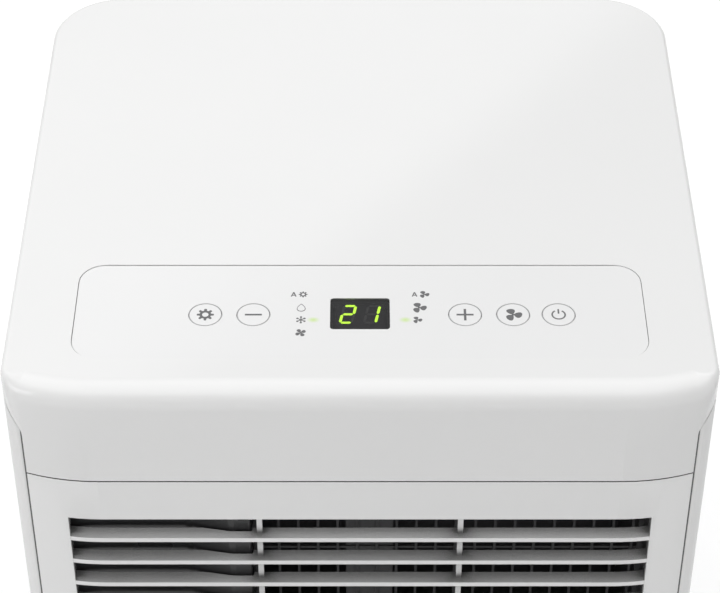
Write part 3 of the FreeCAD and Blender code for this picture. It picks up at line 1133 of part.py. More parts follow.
def compressor():
    """A welded shell with domed ends on a three-armed plate, and its accumulator."""
    shell = rod((COMPRESSOR_X, COMPRESSOR_Y, COMPRESSOR_BOTTOM), (0, 0, 1), COMPRESSOR_RADIUS,
                COMPRESSOR_HEIGHT)
    shell = edge_round(shell, COMPRESSOR_DOME, lambda e: len(e.Vertexes) == 1)
    pieces = [shell]
    plate_z = COMPRESSOR_BOTTOM
    for x, y in foot_places():
        pieces.append(rod((x, y, plate_z), (0, 0, 1), RUBBER_FOOT_RADIUS + 3, COMPRESSOR_PLATE))
        arm = rounded_path([(COMPRESSOR_X, COMPRESSOR_Y, plate_z), (x, y, plate_z)], 1)
        width = 18
        along = (Vector(x, y, 0) - Vector(COMPRESSOR_X, COMPRESSOR_Y, 0)).normalize()
        across = Vector(-along.y, along.x, 0) * (width / 2)
        start, end = arm.Vertexes[0].Point, arm.Vertexes[-1].Point
        corners = [start - across, end - across, end + across, start + across, start - across]
        pieces.append(Part.Face(Part.makePolygon(corners)).extrude(Vector(0, 0, COMPRESSOR_PLATE)))
    terminal = rod((COMPRESSOR_X, COMPRESSOR_Y, COMPRESSOR_TOP - 2), (0, 0, 1), 14, 20)
    pieces.append(terminal)
    tank = rod((ACCUMULATOR_X, ACCUMULATOR_Y, ACCUMULATOR_BOTTOM), (0, 0, 1), ACCUMULATOR_RADIUS,
               ACCUMULATOR_HEIGHT)
    pieces.append(edge_round(tank, ACCUMULATOR_RADIUS / 2, lambda e: len(e.Vertexes) == 1))
    low = ACCUMULATOR_BOTTOM - 14
    pieces.append(pipe([(ACCUMULATOR_X, ACCUMULATOR_Y, ACCUMULATOR_BOTTOM + 2), (ACCUMULATOR_X, ACCUMULATOR_Y, low),
                        (COMPRESSOR_X, COMPRESSOR_Y, low)], PIPE_RADIUS, 8))
    return joined(pieces)


def compressor_feet():
    feet = []
    for x, y in foot_places():
        foot = rod((x, y, FLOOR_TOP), (0, 0, 1), RUBBER_FOOT_RADIUS, RUBBER_FOOT_HEIGHT)
        waist = tube((x, y, FLOOR_TOP + 5), (0, 0, 1), RUBBER_FOOT_RADIUS + 1, RUBBER_FOOT_RADIUS - 2.5, 5)
        feet.append(foot.cut(waist))
    return Part.makeCompound(feet)


def suction_pipe():
    """From the evaporator, down through the deck, to the top of the accumulator."""
    y, z = COIL_ROWS[0], EVAPORATOR_TUBES[0]
    low = (ACCUMULATOR_TOP + DECK_BOTTOM) / 2
    return pipe([(COIL_END_X, y, z), (PIPE_X, y, z), (PIPE_X, y, low), (ACCUMULATOR_X, ACCUMULATOR_Y, low),
                 (ACCUMULATOR_X, ACCUMULATOR_Y, ACCUMULATOR_TOP)], SUCTION_RADIUS, PIPE_BEND)


def discharge_pipe():
    """From the top of the compressor to the condenser's upper end."""
    y, z = COIL_ROWS[1], CONDENSER_TUBES[-1]
    start_x = COMPRESSOR_X - 24
    top = COMPRESSOR_TOP + 30
    return pipe([(start_x, COMPRESSOR_Y, COMPRESSOR_TOP), (start_x, COMPRESSOR_Y, top),
                 (PIPE_X + 8, COMPRESSOR_Y, top), (PIPE_X + 8, y, top), (PIPE_X + 8, y, z), (COIL_END_X, y, z)],
                PIPE_RADIUS, 10)


def liquid_pipe():
    """From the condenser's lower end, through a drier, up to the evaporator."""
    y = COIL_ROWS[0]
    low, high = CONDENSER_TUBES[0], EVAPORATOR_TUBES[0]
    run = pipe([(-COIL_END_X, y, low), (-PIPE_X, y, low), (-PIPE_X, y, high), (-COIL_END_X, y, high)],
               PIPE_RADIUS, 10)
    drier = rod((-PIPE_X, y, (low + high) / 2 - 40), (0, 0, 1), 9, 80)
    drier = edge_round(drier, 4, lambda e: len(e.Vertexes) == 1)
    return joined([run, drier])


BOX_X = (BAFFLE_END_X - 8 - BOX_WIDTH, BAFFLE_END_X - 8)
BOX_Y = (FRONT_Y + BOX_FRONT_SETBACK, FRONT_Y + BOX_FRONT_SETBACK + BOX_LENGTH)


def electrical_box():
    box = block(*BOX_X, *BOX_Y, DECK_TOP, DECK_TOP + BOX_HEIGHT)
    return box.cut(block(BOX_X[0] + BOX_WALL, BOX_X[1] - BOX_WALL, BOX_Y[0] + BOX_WALL, BOX_Y[1] - BOX_WALL,
                         DECK_TOP + BOX_WALL, DECK_TOP + BOX_HEIGHT + 1))


def main_board():
    """The power board with its relays, choke and heat sink, upright in the box."""
    x = BOX_X[0] + 10
    y0, y1 = BOX_Y[0] + BOX_WALL + 3, BOX_Y[1] - BOX_WALL - 3
    z0, z1 = DECK_TOP + BOX_WALL, DECK_TOP + BOX_HEIGHT - 8
    parts = [block(x, x + MAIN_BOARD_THICKNESS, y0, y1, z0, z1)]
    face = x + MAIN_BOARD_THICKNESS / 2
    for number in range(3):
        y = y0 + 8 + number * 24
        parts.append(block(face, face + 15, y, y + 18, z1 - 30, z1 - 14))
    parts.append(block(face, face + 18, y0 + 8, y0 + 36, z0 + 44, z0 + 72))
    parts.append(rod((face, y0 + 62, z0 + 58), (1, 0, 0), 12, 18))
    return joined(parts)


def run_capacitor():
    x = BOX_X[1] - BOX_WALL - CAPACITOR_RADIUS - 3
    y = (BOX_Y[0] + BOX_Y[1]) / 2
    can = rod((x, y, DECK_TOP + BOX_WALL), (0, 0, 1), CAPACITOR_RADIUS, CAPACITOR_HEIGHT)
    top = DECK_TOP + BOX_WALL + CAPACITOR_HEIGHT
    pieces = [edge_round(can, 1.5, lambda e: e.BoundBox.ZMin > top - 1e-6)]
    for side in (-1, 1):
        pieces.append(block(x - 3, x + 3, y + side * 7 - 0.5, y + side * 7 + 0.5, top - 1, top + 9))
    return joined(pieces)


SLINGER_Z = FLOOR_TOP + SLINGER_RADIUS + SLINGER_GAP
SLINGER_Y = COIL_FRONT_Y - SLINGER_GAP - SLINGER_WIDTH


def slinger_wheel():
    """A paddle wheel that throws condensate on to the condenser."""
    disc = rod((SLINGER_X, SLINGER_Y, SLINGER_Z), (0, 1, 0), SLINGER_RADIUS - 3, 1.6)
    hub = rod((SLINGER_X, SLINGER_Y, SLINGER_Z), (0, 1, 0), 5, SLINGER_WIDTH)
    shaft = rod((SLINGER_X, SLINGER_Y - 22, SLINGER_Z), (0, 1, 0), SLINGER_SHAFT, 23)
    paddles = []
    paddle = block(SLINGER_X + 10, SLINGER_X + SLINGER_RADIUS, SLINGER_Y, SLINGER_Y + SLINGER_WIDTH,
                   SLINGER_Z - 0.6, SLINGER_Z + 0.6)
    for number in range(SLINGER_PADDLES):
        turned = 360 * number / SLINGER_PADDLES
        paddles.append(paddle.rotated(Vector(SLINGER_X, 0, SLINGER_Z), Vector(0, 1, 0), turned))
    return joined([disc, hub, shaft] + paddles)


def slinger_motor():
    end_y = SLINGER_Y - 3
    body = rod((SLINGER_X, end_y - SLINGER_MOTOR_LENGTH, SLINGER_Z), (0, 1, 0), SLINGER_MOTOR_RADIUS,
               SLINGER_MOTOR_LENGTH)
    stand = block(SLINGER_X - 9, SLINGER_X + 9, end_y - SLINGER_MOTOR_LENGTH + 4, end_y - 4, FLOOR_TOP, SLINGER_Z)
    foot = block(SLINGER_X - 18, SLINGER_X + 18, end_y - SLINGER_MOTOR_LENGTH + 4, end_y - 4, FLOOR_TOP,
                 FLOOR_TOP + 2.5)
    bore = rod((SLINGER_X, end_y - 20, SLINGER_Z), (0, 1, 0), SLINGER_SHAFT + STEM_CLEARANCE, 21)
    return joined([body, stand, foot]).cut(bore)


def main():
    os.makedirs("parts", exist_ok=True)
    skin = cabinet_skin()
    save("top_cover", top_cover(skin))
    right = side_panel(skin)
    save("side_panel_right", right)
    save("side_panel_left", mirrored(right))
    save("front_panel", front_panel(skin))
    save("rear_panel", rear_panel(skin))
    save("base_tray", base_tray())
    save("outlet_grille", outlet_grille())
    save("outlet_baffle", outlet_baffle())
    save("guard_grid", guard_grid())
    save("control_overlay", control_overlay())
    for name, x in KEY_X.items():
        save(f"key_{name}", key(x))
    save("tact_switches", tact_switches())
    save("control_board", control_board())
    save("display_lens", display_lens())
    save("led_display", led_display())
    save("light_guides", light_guides())
    for name, (half_width, bottom, top) in INTAKES.items():
        save(f"intake_door_{name}", intake_door(half_width, bottom, top))
        save(f"air_filter_{name}", air_filter(half_width, bottom, top))
    save("exhaust_collar", exhaust_collar())
    save("drain_cap_upper", drain_cap(UPPER_DRAIN_X, EXHAUST_Z))
    save("drain_cap_lower", drain_cap(LOWER_DRAIN_X, FLOOR_TOP + LOWER_DRAIN_RISE))
    save("cord_gland", cord_gland())
    save("panel_screws", panel_screws())
    for name, (x, y) in CASTER_PLACES.items():
        save(f"caster_fork_{name}", caster_fork(x, y))
        save(f"caster_wheels_{name}", caster_wheels(x, y))
    save("outlet_duct", outlet_duct())
    save("evaporator_housing", evaporator_housing())
    save("evaporator_wheel", fan_wheel(EVAP_FAN_X, EVAP_FAN_Z, EVAP_FAN_RADIUS))
    save("evaporator_motor", fan_motor(EVAP_FAN_X, EVAP_FAN_Z))
    save("evaporator", coil(EVAPORATOR_BOTTOM, EVAPORATOR_TOP))
    save("drip_tray", drip_tray())
    save("mid_deck", mid_deck())
    save("condenser", coil(CONDENSER_BOTTOM, CONDENSER_TOP))
    save("condenser_housing", blower_housing(COND_FAN_X, COND_FAN_Z, COND_FAN_RADIUS, CONDENSER_TOP + 6,
                                             True, FLOOR_TOP))
    save("condenser_wheel", fan_wheel(COND_FAN_X, COND_FAN_Z, COND_FAN_RADIUS))
    save("condenser_motor", fan_motor(COND_FAN_X, COND_FAN_Z))
    save("exhaust_duct", exhaust_duct())
    save("compressor", compressor())
    save("compressor_feet", compressor_feet())
    save("suction_pipe", suction_pipe())
    save("discharge_pipe", discharge_pipe())
    save("liquid_pipe", liquid_pipe())
    save("electrical_box", electrical_box())
    save("main_board", main_board())
    save("run_capacitor", run_capacitor())
    save("slinger_wheel", slinger_wheel())
    save("slinger_motor", slinger_motor())


if __name__ == "__main__":
    main()
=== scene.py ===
"""Portable air conditioner: a glossy white cabinet on casters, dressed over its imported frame.

The sections follow the machine as it is put together. Each one holds the sizes, colours, shapes and
materials of its own pieces, and defines the helpers that it is the first to need.
"""
import math

import bpy
import numpy as np
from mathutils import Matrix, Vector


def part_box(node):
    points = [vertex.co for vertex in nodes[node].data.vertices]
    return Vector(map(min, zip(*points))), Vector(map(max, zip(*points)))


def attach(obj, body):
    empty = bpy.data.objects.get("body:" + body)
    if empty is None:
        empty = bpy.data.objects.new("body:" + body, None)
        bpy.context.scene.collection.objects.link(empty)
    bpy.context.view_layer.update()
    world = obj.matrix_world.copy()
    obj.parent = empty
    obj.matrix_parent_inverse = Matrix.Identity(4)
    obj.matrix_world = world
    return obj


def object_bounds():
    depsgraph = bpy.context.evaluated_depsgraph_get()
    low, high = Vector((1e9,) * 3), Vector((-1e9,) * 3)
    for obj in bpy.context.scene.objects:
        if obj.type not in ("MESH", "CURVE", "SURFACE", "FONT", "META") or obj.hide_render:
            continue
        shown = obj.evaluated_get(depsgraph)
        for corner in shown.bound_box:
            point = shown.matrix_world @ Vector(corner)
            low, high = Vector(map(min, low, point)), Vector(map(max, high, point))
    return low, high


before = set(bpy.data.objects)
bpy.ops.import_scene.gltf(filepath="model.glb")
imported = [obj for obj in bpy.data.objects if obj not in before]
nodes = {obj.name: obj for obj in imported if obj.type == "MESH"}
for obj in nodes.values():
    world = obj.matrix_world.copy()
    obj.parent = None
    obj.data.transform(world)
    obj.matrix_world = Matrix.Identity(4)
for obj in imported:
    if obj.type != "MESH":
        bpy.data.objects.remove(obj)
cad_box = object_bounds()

low, high = cad_box

# ---------------------------------------------------------------- camera
# A long lens in front of the machine and above it, tipped down at the top and the control panel.
CAMERA_IN_FRONT = 0.8412
CAMERA_ABOVE = 0.8134
CAMERA_TIP = math.radians(41.7)
camera_data = bpy.data.cameras.new("camera")
camera_data.sensor_width = 36.0
camera_data.lens = 120.0
camera = bpy.data.objects.new("camera", camera_data)
bpy.context.scene.collection.objects.link(camera)
camera.location = (0.0, low[1] - CAMERA_IN_FRONT, high[2] + CAMERA_ABOVE)
camera.rotation_euler = (math.pi / 2 - CAMERA_TIP, 0.0, 0.0)
bpy.context.scene.camera = camera

# ---------------------------------------------------------------- studio
# A pale floor under a white sky that is bright overhead and dim round the sides, a bright card behind on
# the left that the glossy top mirrors, and a soft lamp in front on the left. The backdrop is white.
FLOOR_SIZE = 40.0
FLOOR_WHITE = (0.87, 0.87, 0.87)
SKY_AXIS = (0.0, -0.12, 0.993)
SKY_OVERHEAD = 2.68        # strength round the axis, over what the sides have
SKY_TURN = 0.60            # cosine of the angle from the axis where the sky starts to brighten
SKY_FULL = 0.95            # the same where it is at its brightest
SKY_LEFT = 0.10
SKY_RIGHT = 0.03
SKY_SIDES = 0.9            # how far to each side of the middle the sky goes on changing
CARD_NORMAL = (0.617, -0.506, 0.603)
CARD_SOFTNESS = 0.012
CARD_STRENGTH = 1.30
CARD_RISE = (0.30, 0.45)   # the share of a direction that is up, from no card to the whole of it
CARD_BACK = (0.35, 0.55)   # the same for the share that is back
BACKDROP = 0.96            # what the camera sees past the floor
SOFT_LAMP_PLACE = (-0.99, -0.94, 1.05)
SOFT_LAMP_TARGET = (-0.1, 0.0, 0.60)
SOFT_LAMP_SIZE = 0.45
SOFT_LAMP_POWER = 2.2


def grid_faces(rows, columns, closed_rows=False, closed_columns=False):
    """Quads between neighbouring points of a rows by columns grid, joined at the ends where it is closed."""
    row, column = np.meshgrid(np.arange(rows if closed_rows else rows - 1),
                              np.arange(columns if closed_columns else columns - 1), indexing="ij")
    below, beside = (row + 1) % rows, (column + 1) % columns
    corners = [row * columns + column, below * columns + column,
               below * columns + beside, row * columns + beside]
    return np.stack(corners, -1).reshape(-1, 4).tolist()


def piece_from(name, points, faces, material):
    """A flat-shaded mesh object from an array of points and a list of faces, with one material."""
    mesh = bpy.data.meshes.new(name)
    mesh.from_pydata(np.asarray(points, float).reshape(-1, 3).tolist(), [], faces)
    mesh.polygons.foreach_set("use_smooth", [False] * len(mesh.polygons))
    mesh.materials.append(material)
    mesh.update()
    piece = bpy.data.objects.new(name, mesh)
    bpy.context.scene.collection.objects.link(piece)
    return piece


def plain_material(name, colour, roughness=0.5, **sockets):
    """A Principled material with plain socket values. Returns (material, node tree, shader)."""
    material = bpy.data.materials.new(name)
    material.use_nodes = True
    shader = material.node_tree.nodes["Principled BSDF"]
    shader.inputs["Base Color"].default_value = (*colour, 1.0)
    shader.inputs["Roughness"].default_value = roughness
    for socket, value in sockets.items():
        shader.inputs[socket.replace("_", " ")].default_value = value
    return material, material.node_tree, shader


floor_material, _, _ = plain_material("studio_floor", FLOOR_WHITE, 0.8)
half_floor = FLOOR_SIZE / 2
floor_points = [(-half_floor, -half_floor, 0), (half_floor, -half_floor, 0),
                (half_floor, half_floor, 0), (-half_floor, half_floor, 0)]
floor = piece_from("studio_floor", floor_points, [(0, 1, 2, 3)], floor_material)


def tree_maths(tree, operation, first, second=0.0):
    """A Math node on two numbers or sockets."""
    node = tree.nodes.new("ShaderNodeMath")
    node.operation = operation
    for socket, value in zip(node.inputs, (first, second)):
        if isinstance(value, (int, float)):
            socket.default_value = value
        else:
            tree.links.new(value, socket)
    return node.outputs[0]


def tree_range(tree, value, start, end, low_value=0.0, high_value=1.0, smooth=False):
    """A Map Range node from start..end to low_value..high_value."""
    node = tree.nodes.new("ShaderNodeMapRange")
    node.interpolation_type = "SMOOTHSTEP" if smooth else "LINEAR"
    for socket, number in (("From Min", start), ("From Max", end),
                           ("To Min", low_value), ("To Max", high_value)):
        node.inputs[socket].default_value = number
    tree.links.new(value, node.inputs["Value"])
    return node.outputs["Result"]


def axes_of(tree, vector):
    """The X, Y and Z sockets of a vector."""
    node = tree.nodes.new("ShaderNodeSeparateXYZ")
    tree.links.new(vector, node.inputs[0])
    return node.outputs


def towards(tree, vector, axis):
    """The share of a direction that lies along an axis."""
    node = tree.nodes.new("ShaderNodeVectorMath")
    node.operation = "DOT_PRODUCT"
    node.inputs[1].default_value = axis
    tree.links.new(vector, node.inputs[0])
    return node.outputs["Value"]


world = bpy.data.worlds.new("studio_sky")
bpy.context.scene.world = world
world.use_nodes = True
sky = world.node_tree
direction = sky.nodes.new("ShaderNodeTexCoord").outputs["Generated"]
sky_axes = axes_of(sky, direction)
overhead = tree_range(sky, towards(sky, direction, SKY_AXIS), SKY_TURN, SKY_FULL, 0.0, SKY_OVERHEAD, True)
sides = tree_range(sky, sky_axes["X"], -SKY_SIDES, SKY_SIDES, SKY_LEFT, SKY_RIGHT)
card_side = towards(sky, direction, CARD_NORMAL)
card = tree_range(sky, card_side, CARD_SOFTNESS, -CARD_SOFTNESS, 0.0, CARD_STRENGTH, True)
card_rise = tree_range(sky, sky_axes["Z"], *CARD_RISE, smooth=True)
card_back = tree_range(sky, sky_axes["Y"], *CARD_BACK, smooth=True)
card = tree_maths(sky, "MULTIPLY", card, tree_maths(sky, "MULTIPLY", card_rise, card_back))
strength = tree_maths(sky, "ADD", tree_maths(sky, "ADD", overhead, sides), card)
seen = sky.nodes.new("ShaderNodeLightPath").outputs["Is Camera Ray"]
strength = tree_maths(sky, "MAXIMUM", strength, tree_maths(sky, "MULTIPLY", seen, BACKDROP))
sky.links.new(strength, sky.nodes["Background"].inputs["Strength"])
sky.nodes["Background"].inputs["Color"].default_value = (1.0, 1.0, 1.0, 1.0)


def soft_lamp(name, place, target, size, power):
    """A square area lamp at a place, facing a target."""
    data = bpy.data.lights.new(name, "AREA")
    data.size = size
    data.energy = power
    lamp = bpy.data.objects.new(name, data)
    bpy.context.scene.collection.objects.link(lamp)
    away = np.subtract(place, target)
    lamp.location = place
    lamp.rotation_euler = (math.atan2(math.hypot(away[0], away[1]), away[2]), 0.0,
                           math.atan2(away[1], away[0]) + math.pi / 2)


soft_lamp("lamp_front_left", SOFT_LAMP_PLACE, SOFT_LAMP_TARGET, SOFT_LAMP_SIZE, SOFT_LAMP_POWER)
bpy.context.scene.view_settings.view_transform = "Standard"

# ---------------------------------------------------------------- cabinet
# Six injection mouldings in glossy white ABS: a cover with its apron, front, two sides, rear and base.
# The mould leaves a very fine grain, a slow waviness, and a gloss that differs a little from place to place.
# Shade is painted into the seams as a dark grey, where the surfaces close round them and little light gets
# in.
CABINET_WHITE = (0.718, 0.718, 0.716)
CABINET_SHADE = (0.707, 0.708, 0.706)
CABINET_GLOSS = (0.075, 0.09)
CABINET_SPECULAR = 0.36
GRAIN_STRENGTH = 0.35
POLISHED_GRAIN = 0.000003  # depth of the grain that a polished mould leaves
WELD_REACH = 0.000002      # points nearer than this are one point
SHARP_ANGLE = math.radians(38.0)
SHADE_SAMPLES = 16
SHADE_START = 0.95         # the open share of the surroundings where the painted shade begins
SEAM_EDGE = 0.0002         # rounding of the moulded edges
SEAM_REACH = 0.0018        # how near another surface must be for a seam to take its painted shade
SEAM_FULL = 0.50           # the open share where the painted seam shade is at its darkest
PAINTED_SEAM_GREY = (0.12, 0.12, 0.118)
TOP_UNSHADED = 0.0009         # depth under the top face that is kept mostly free of the painted seam shade, and over which that ends
GROOVE_SHARE = 0.15        # how much of the painted seam shade is left round the control film
SEAM_LIP = 0.0007          # how far in from their faces the painted shade on the side panels' edges reaches
LIP_DEPTH = 0.0003         # how far back from the front edge the painted shade goes
LIP_FADE = 0.0002
FACE_TOLERANCE = 0.00001


def group_nodes(name, inputs, outputs):
    """An empty shader group with named sockets. Returns (group, its input node, its output node)."""
    group = bpy.data.node_groups.new(name, "ShaderNodeTree")
    for socket, value in inputs.items():
        kind = "NodeSocketVector" if isinstance(value, tuple) else "NodeSocketFloat"
        made = group.interface.new_socket(socket, in_out="INPUT", socket_type=kind)
        made.default_value = value
    for socket in outputs:
        group.interface.new_socket(socket, in_out="OUTPUT", socket_type="NodeSocketFloat")
    return group, group.nodes.new("NodeGroupInput"), group.nodes.new("NodeGroupOutput")


def noise(tree, vector, scale, detail=2.0):
    """A noise node on a vector. The scale is in waves to the metre, and may be a socket."""
    node = tree.nodes.new("ShaderNodeTexNoise")
    node.inputs["Detail"].default_value = detail
    tree.links.new(vector, node.inputs["Vector"])
    if isinstance(scale, (int, float)):
        node.inputs["Scale"].default_value = scale
    else:
        tree.links.new(scale, node.inputs["Scale"])
    return node.outputs["Fac"]


# moulded surface: Height is grain plus a slow wave, Variation is a slow mask from 0 to 1
moulded, into, out = group_nodes("moulded_surface", {"Grain Scale": 1400.0, "Wave Scale": 60.0,
                                                     "Wave Share": 0.5, "Patch Scale": 11.0},
                                 ["Height", "Variation"])
place = moulded.nodes.new("ShaderNodeTexCoord").outputs["Object"]
grain = noise(moulded, place, into.outputs["Grain Scale"], 3.0)
wave = noise(moulded, place, into.outputs["Wave Scale"], 1.0)
waves = tree_maths(moulded, "MULTIPLY", wave, into.outputs["Wave Share"])
moulded.links.new(tree_maths(moulded, "ADD", grain, waves), out.inputs["Height"])
patches = noise(moulded, place, into.outputs["Patch Scale"], 4.0)
moulded.links.new(tree_range(moulded, patches, 0.2, 0.8), out.inputs["Variation"])


def use_group(tree, group, **values):
    """A node that uses a group, with the sockets that are given set to their values."""
    node = tree.nodes.new("ShaderNodeGroup")
    node.node_tree = group
    for socket, value in values.items():
        node.inputs[socket.replace("_", " ")].default_value = value
    return node


def vary(tree, mask, first, second, shader, socket):
    """Mixes two colours or two numbers by a mask into a socket of the shader."""
    if isinstance(first, tuple):
        mix = tree.nodes.new("ShaderNodeMix")
        mix.data_type = "RGBA"
        mix.inputs["A"].default_value = (*first, 1.0)
        mix.inputs["B"].default_value = (*second, 1.0)
        tree.links.new(mask, mix.inputs["Factor"])
        result = [o for o in mix.outputs if o.type == "RGBA"][0]
    else:
        mix = tree.nodes.new("ShaderNodeMapRange")
        mix.inputs["To Min"].default_value = first
        mix.inputs["To Max"].default_value = second
        tree.links.new(mask, mix.inputs["Value"])
        result = mix.outputs["Result"]
    tree.links.new(result, shader.inputs[socket])
    return result


def bump(tree, height, shader, strength, depth):
    """Raises the surface by a height map, at most by depth in metres."""
    node = tree.nodes.new("ShaderNodeBump")
    node.inputs["Strength"].default_value = strength
    node.inputs["Distance"].default_value = depth
    tree.links.new(height, node.inputs["Height"])
    tree.links.new(node.outputs["Normal"], shader.inputs["Normal"])


def plastic(name, colour, shade, gloss=(0.2, 0.3), grain_depth=0.00002, texture=None, **sockets):
    """A moulded plastic that varies in tone and gloss, with a fine grain."""
    material, tree, shader = plain_material(name, colour, gloss[0], **sockets)
    surface = use_group(tree, moulded, **(texture or {}))
    vary(tree, surface.outputs["Variation"], colour, shade, shader, "Base Color")
    vary(tree, surface.outputs["Variation"], gloss[0], gloss[1], shader, "Roughness")
    bump(tree, surface.outputs["Height"], shader, GRAIN_STRENGTH, grain_depth)
    return material, tree, shader


def dress(names, material, edge=SEAM_EDGE):
    """Gives CAD nodes a material, and rounds their sharp edges by a bevel once their triangles are welded."""
    for name in names:
        node = nodes[name]
        node.data.materials.clear()
        node.data.materials.append(material)
        for polygon in node.data.polygons:
            polygon.material_index = 0
        if not edge:
            continue
        weld = node.modifiers.new("weld", "WELD")
        weld.merge_threshold = WELD_REACH
        rounding = node.modifiers.new("rounding", "BEVEL")
        rounding.width = edge
        rounding.segments = 2
        rounding.limit_method = "ANGLE"
        rounding.angle_limit = SHARP_ANGLE
        rounding.harden_normals = True
        rounding.use_clamp_overlap = True


def shade_group(name, reach, local, full):
    """A group whose Mask is 1 where no more than the full share of the surroundings within reach is open, for
    painting shade where it falls.
    """
    group, into, out = group_nodes(name, {"Reach": reach}, ["Mask"])
    nearness = group.nodes.new("ShaderNodeAmbientOcclusion")
    nearness.samples = SHADE_SAMPLES
    nearness.only_local = local
    group.links.new(into.outputs["Reach"], nearness.inputs["Distance"])
    group.links.new(tree_range(group, nearness.outputs["AO"], SHADE_START, full), out.inputs["Mask"])
    return group


def overlay(made, mask, colour):
    """Lays a colour by a mask over what a material's Base Color already is. Returns the material."""
    material, tree, shader = made
    mix = tree.nodes.new("ShaderNodeMix")
    mix.data_type = "RGBA"
    mix.inputs["B"].default_value = (*colour, 1.0)
    tree.links.new(mask, mix.inputs["Factor"])
    tree.links.new(shader.inputs["Base Color"].links[0].from_socket, mix.inputs["A"])
    tree.links.new([o for o in mix.outputs if o.type == "RGBA"][0], shader.inputs["Base Color"])
    return material


painted_seam_shade = shade_group("painted_seam_shade", SEAM_REACH, False, SEAM_FULL)


def cabinet_moulding(name):
    """The cabinet's glossy plastic with painted shade in its seams. Returns (made, mask)."""
    made = plastic(name, CABINET_WHITE, CABINET_SHADE, gloss=CABINET_GLOSS, grain_depth=POLISHED_GRAIN,
                   Specular_IOR_Level=CABINET_SPECULAR)
    return made, use_group(made[1], painted_seam_shade).outputs["Mask"]


def object_axes(tree):
    """The X, Y and Z sockets of a place on the piece."""
    return axes_of(tree, tree.nodes.new("ShaderNodeTexCoord").outputs["Object"])


# the painted seam shade is mostly held back just under the top face, so the groove round the control film, up
# in the top face, stays light
cabinet_made, painted_shade_mask = cabinet_moulding("cabinet_plastic")
cabinet_tree = cabinet_made[1]
below_top = tree_range(cabinet_tree, object_axes(cabinet_tree)["Z"],
                       high[2] - TOP_UNSHADED, high[2] - 2 * TOP_UNSHADED, GROOVE_SHARE, 1.0)
painted_shade_mask = tree_maths(cabinet_tree, "MULTIPLY", painted_shade_mask, below_top)
dress(["top_cover", "front_panel", "rear_panel", "base_tray"], overlay(cabinet_made, painted_shade_mask, PAINTED_SEAM_GREY))

# the side panels' front edges face the front through the seam, where shade falls, and are painted dark as
# that shade from a little way in
side_made, side_painted_shade = cabinet_moulding("side_plastic")
side_tree = side_made[1]
side_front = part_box("side_panel_left")[0][1]
side_points = np.array([corner.co for corner in nodes["side_panel_left"].data.vertices])
edge_x = np.abs(side_points[side_points[:, 1] < side_front + FACE_TOLERANCE, 0]).max()
side_axes = object_axes(side_tree)
lip_painted_shade = tree_range(side_tree, side_axes["Y"], side_front + LIP_DEPTH + LIP_FADE, side_front + LIP_DEPTH)
inner_mask = tree_range(side_tree, tree_maths(side_tree, "ABSOLUTE", side_axes["X"]),
                        edge_x - SEAM_LIP, edge_x - SEAM_LIP - LIP_FADE)
lip_painted_shade = tree_maths(side_tree, "MULTIPLY", lip_painted_shade, inner_mask)
side_painted_shade = tree_maths(side_tree, "MAXIMUM", side_painted_shade, lip_painted_shade)
dress(["side_panel_left", "side_panel_right"], overlay(side_made, side_painted_shade, PAINTED_SEAM_GREY))

# ---------------------------------------------------------------- control film
# A thin glossy film is stuck over the panel in the top. Its grey signs are screen-printed on it, and the
# light of two lamps behind it is painted on it as soft green spots beside the chosen mode and the chosen fan
# speed.
FILM_WHITE = (0.720, 0.720, 0.720)
FILM_SHADE = (0.710, 0.711, 0.711)
LAMP_TINT = (0.54, 0.67, 0.33)
LAMP_GREEN = (0.42, 0.72, 0.10)
LAMP_REACH = 0.0040        # where a spot has faded out
LAMP_SQUASH = 1.5
LAMP_GLOW = 0.06
LAMP_ROW = 0.0545          # from the front face back to the lit lamps
LAMP_PLACES = (-0.0235, 0.0229)
INK = (0.105, 0.105, 0.108)
INK_SHADE = (0.135, 0.135, 0.138)
INK_RISE = 0.00003
ROWS = (0.0738, 0.0637, 0.0545, 0.0449)    # from the front face back to each row of signs
GEAR_POINTS = 160
MM = 0.001

film_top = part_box("control_overlay")[1][2]
film_plastic, film_tree, film_shader = plastic("printed_film", FILM_WHITE, FILM_SHADE, gloss=(0.12, 0.15),
                                               grain_depth=POLISHED_GRAIN)


def spots(tree, places, reach):
    """A mask that is 1 at each place and fades to 0 at reach, wider than it is deep."""
    point = tree.nodes.new("ShaderNodeTexCoord").outputs["Object"]
    total = None
    for x, y in places:
        shift = tree.nodes.new("ShaderNodeMapping")
        shift.inputs["Location"].default_value = (-x, -y * LAMP_SQUASH, 0.0)
        shift.inputs["Scale"].default_value = (1.0, LAMP_SQUASH, 0.0)
        length = tree.nodes.new("ShaderNodeVectorMath")
        length.operation = "LENGTH"
        tree.links.new(point, shift.inputs["Vector"])
        tree.links.new(shift.outputs["Vector"], length.inputs[0])
        spot = tree_range(tree, length.outputs["Value"], reach, 0.0, 0.0, 1.0, True)
        total = spot if total is None else tree_maths(tree, "ADD", total, spot)
    return total


# painted light: the lamps' glow through the film is a green tint over the film's colour and a faint emission
# from it
lamp_mask = spots(film_tree, [(x, low[1] + LAMP_ROW) for x in LAMP_PLACES], LAMP_REACH)
overlay((film_plastic, film_tree, film_shader), lamp_mask, LAMP_TINT)
vary(film_tree, lamp_mask, (0.0, 0.0, 0.0), LAMP_GREEN, film_shader, "Emission Color")
film_shader.inputs["Emission Strength"].default_value = LAMP_GLOW
dress(["control_overlay"], film_plastic, edge=0.0)

ink, ink_tree, ink_shader = plain_material("sign_ink", INK, 0.4)
ink_surface = use_group(ink_tree, moulded, Grain_Scale=9000.0, Patch_Scale=900.0)
vary(ink_tree, ink_surface.outputs["Variation"], INK, INK_SHADE, ink_shader, "Base Color")
vary(ink_tree, ink_surface.outputs["Height"], 0.30, 0.50, ink_shader, "Roughness")


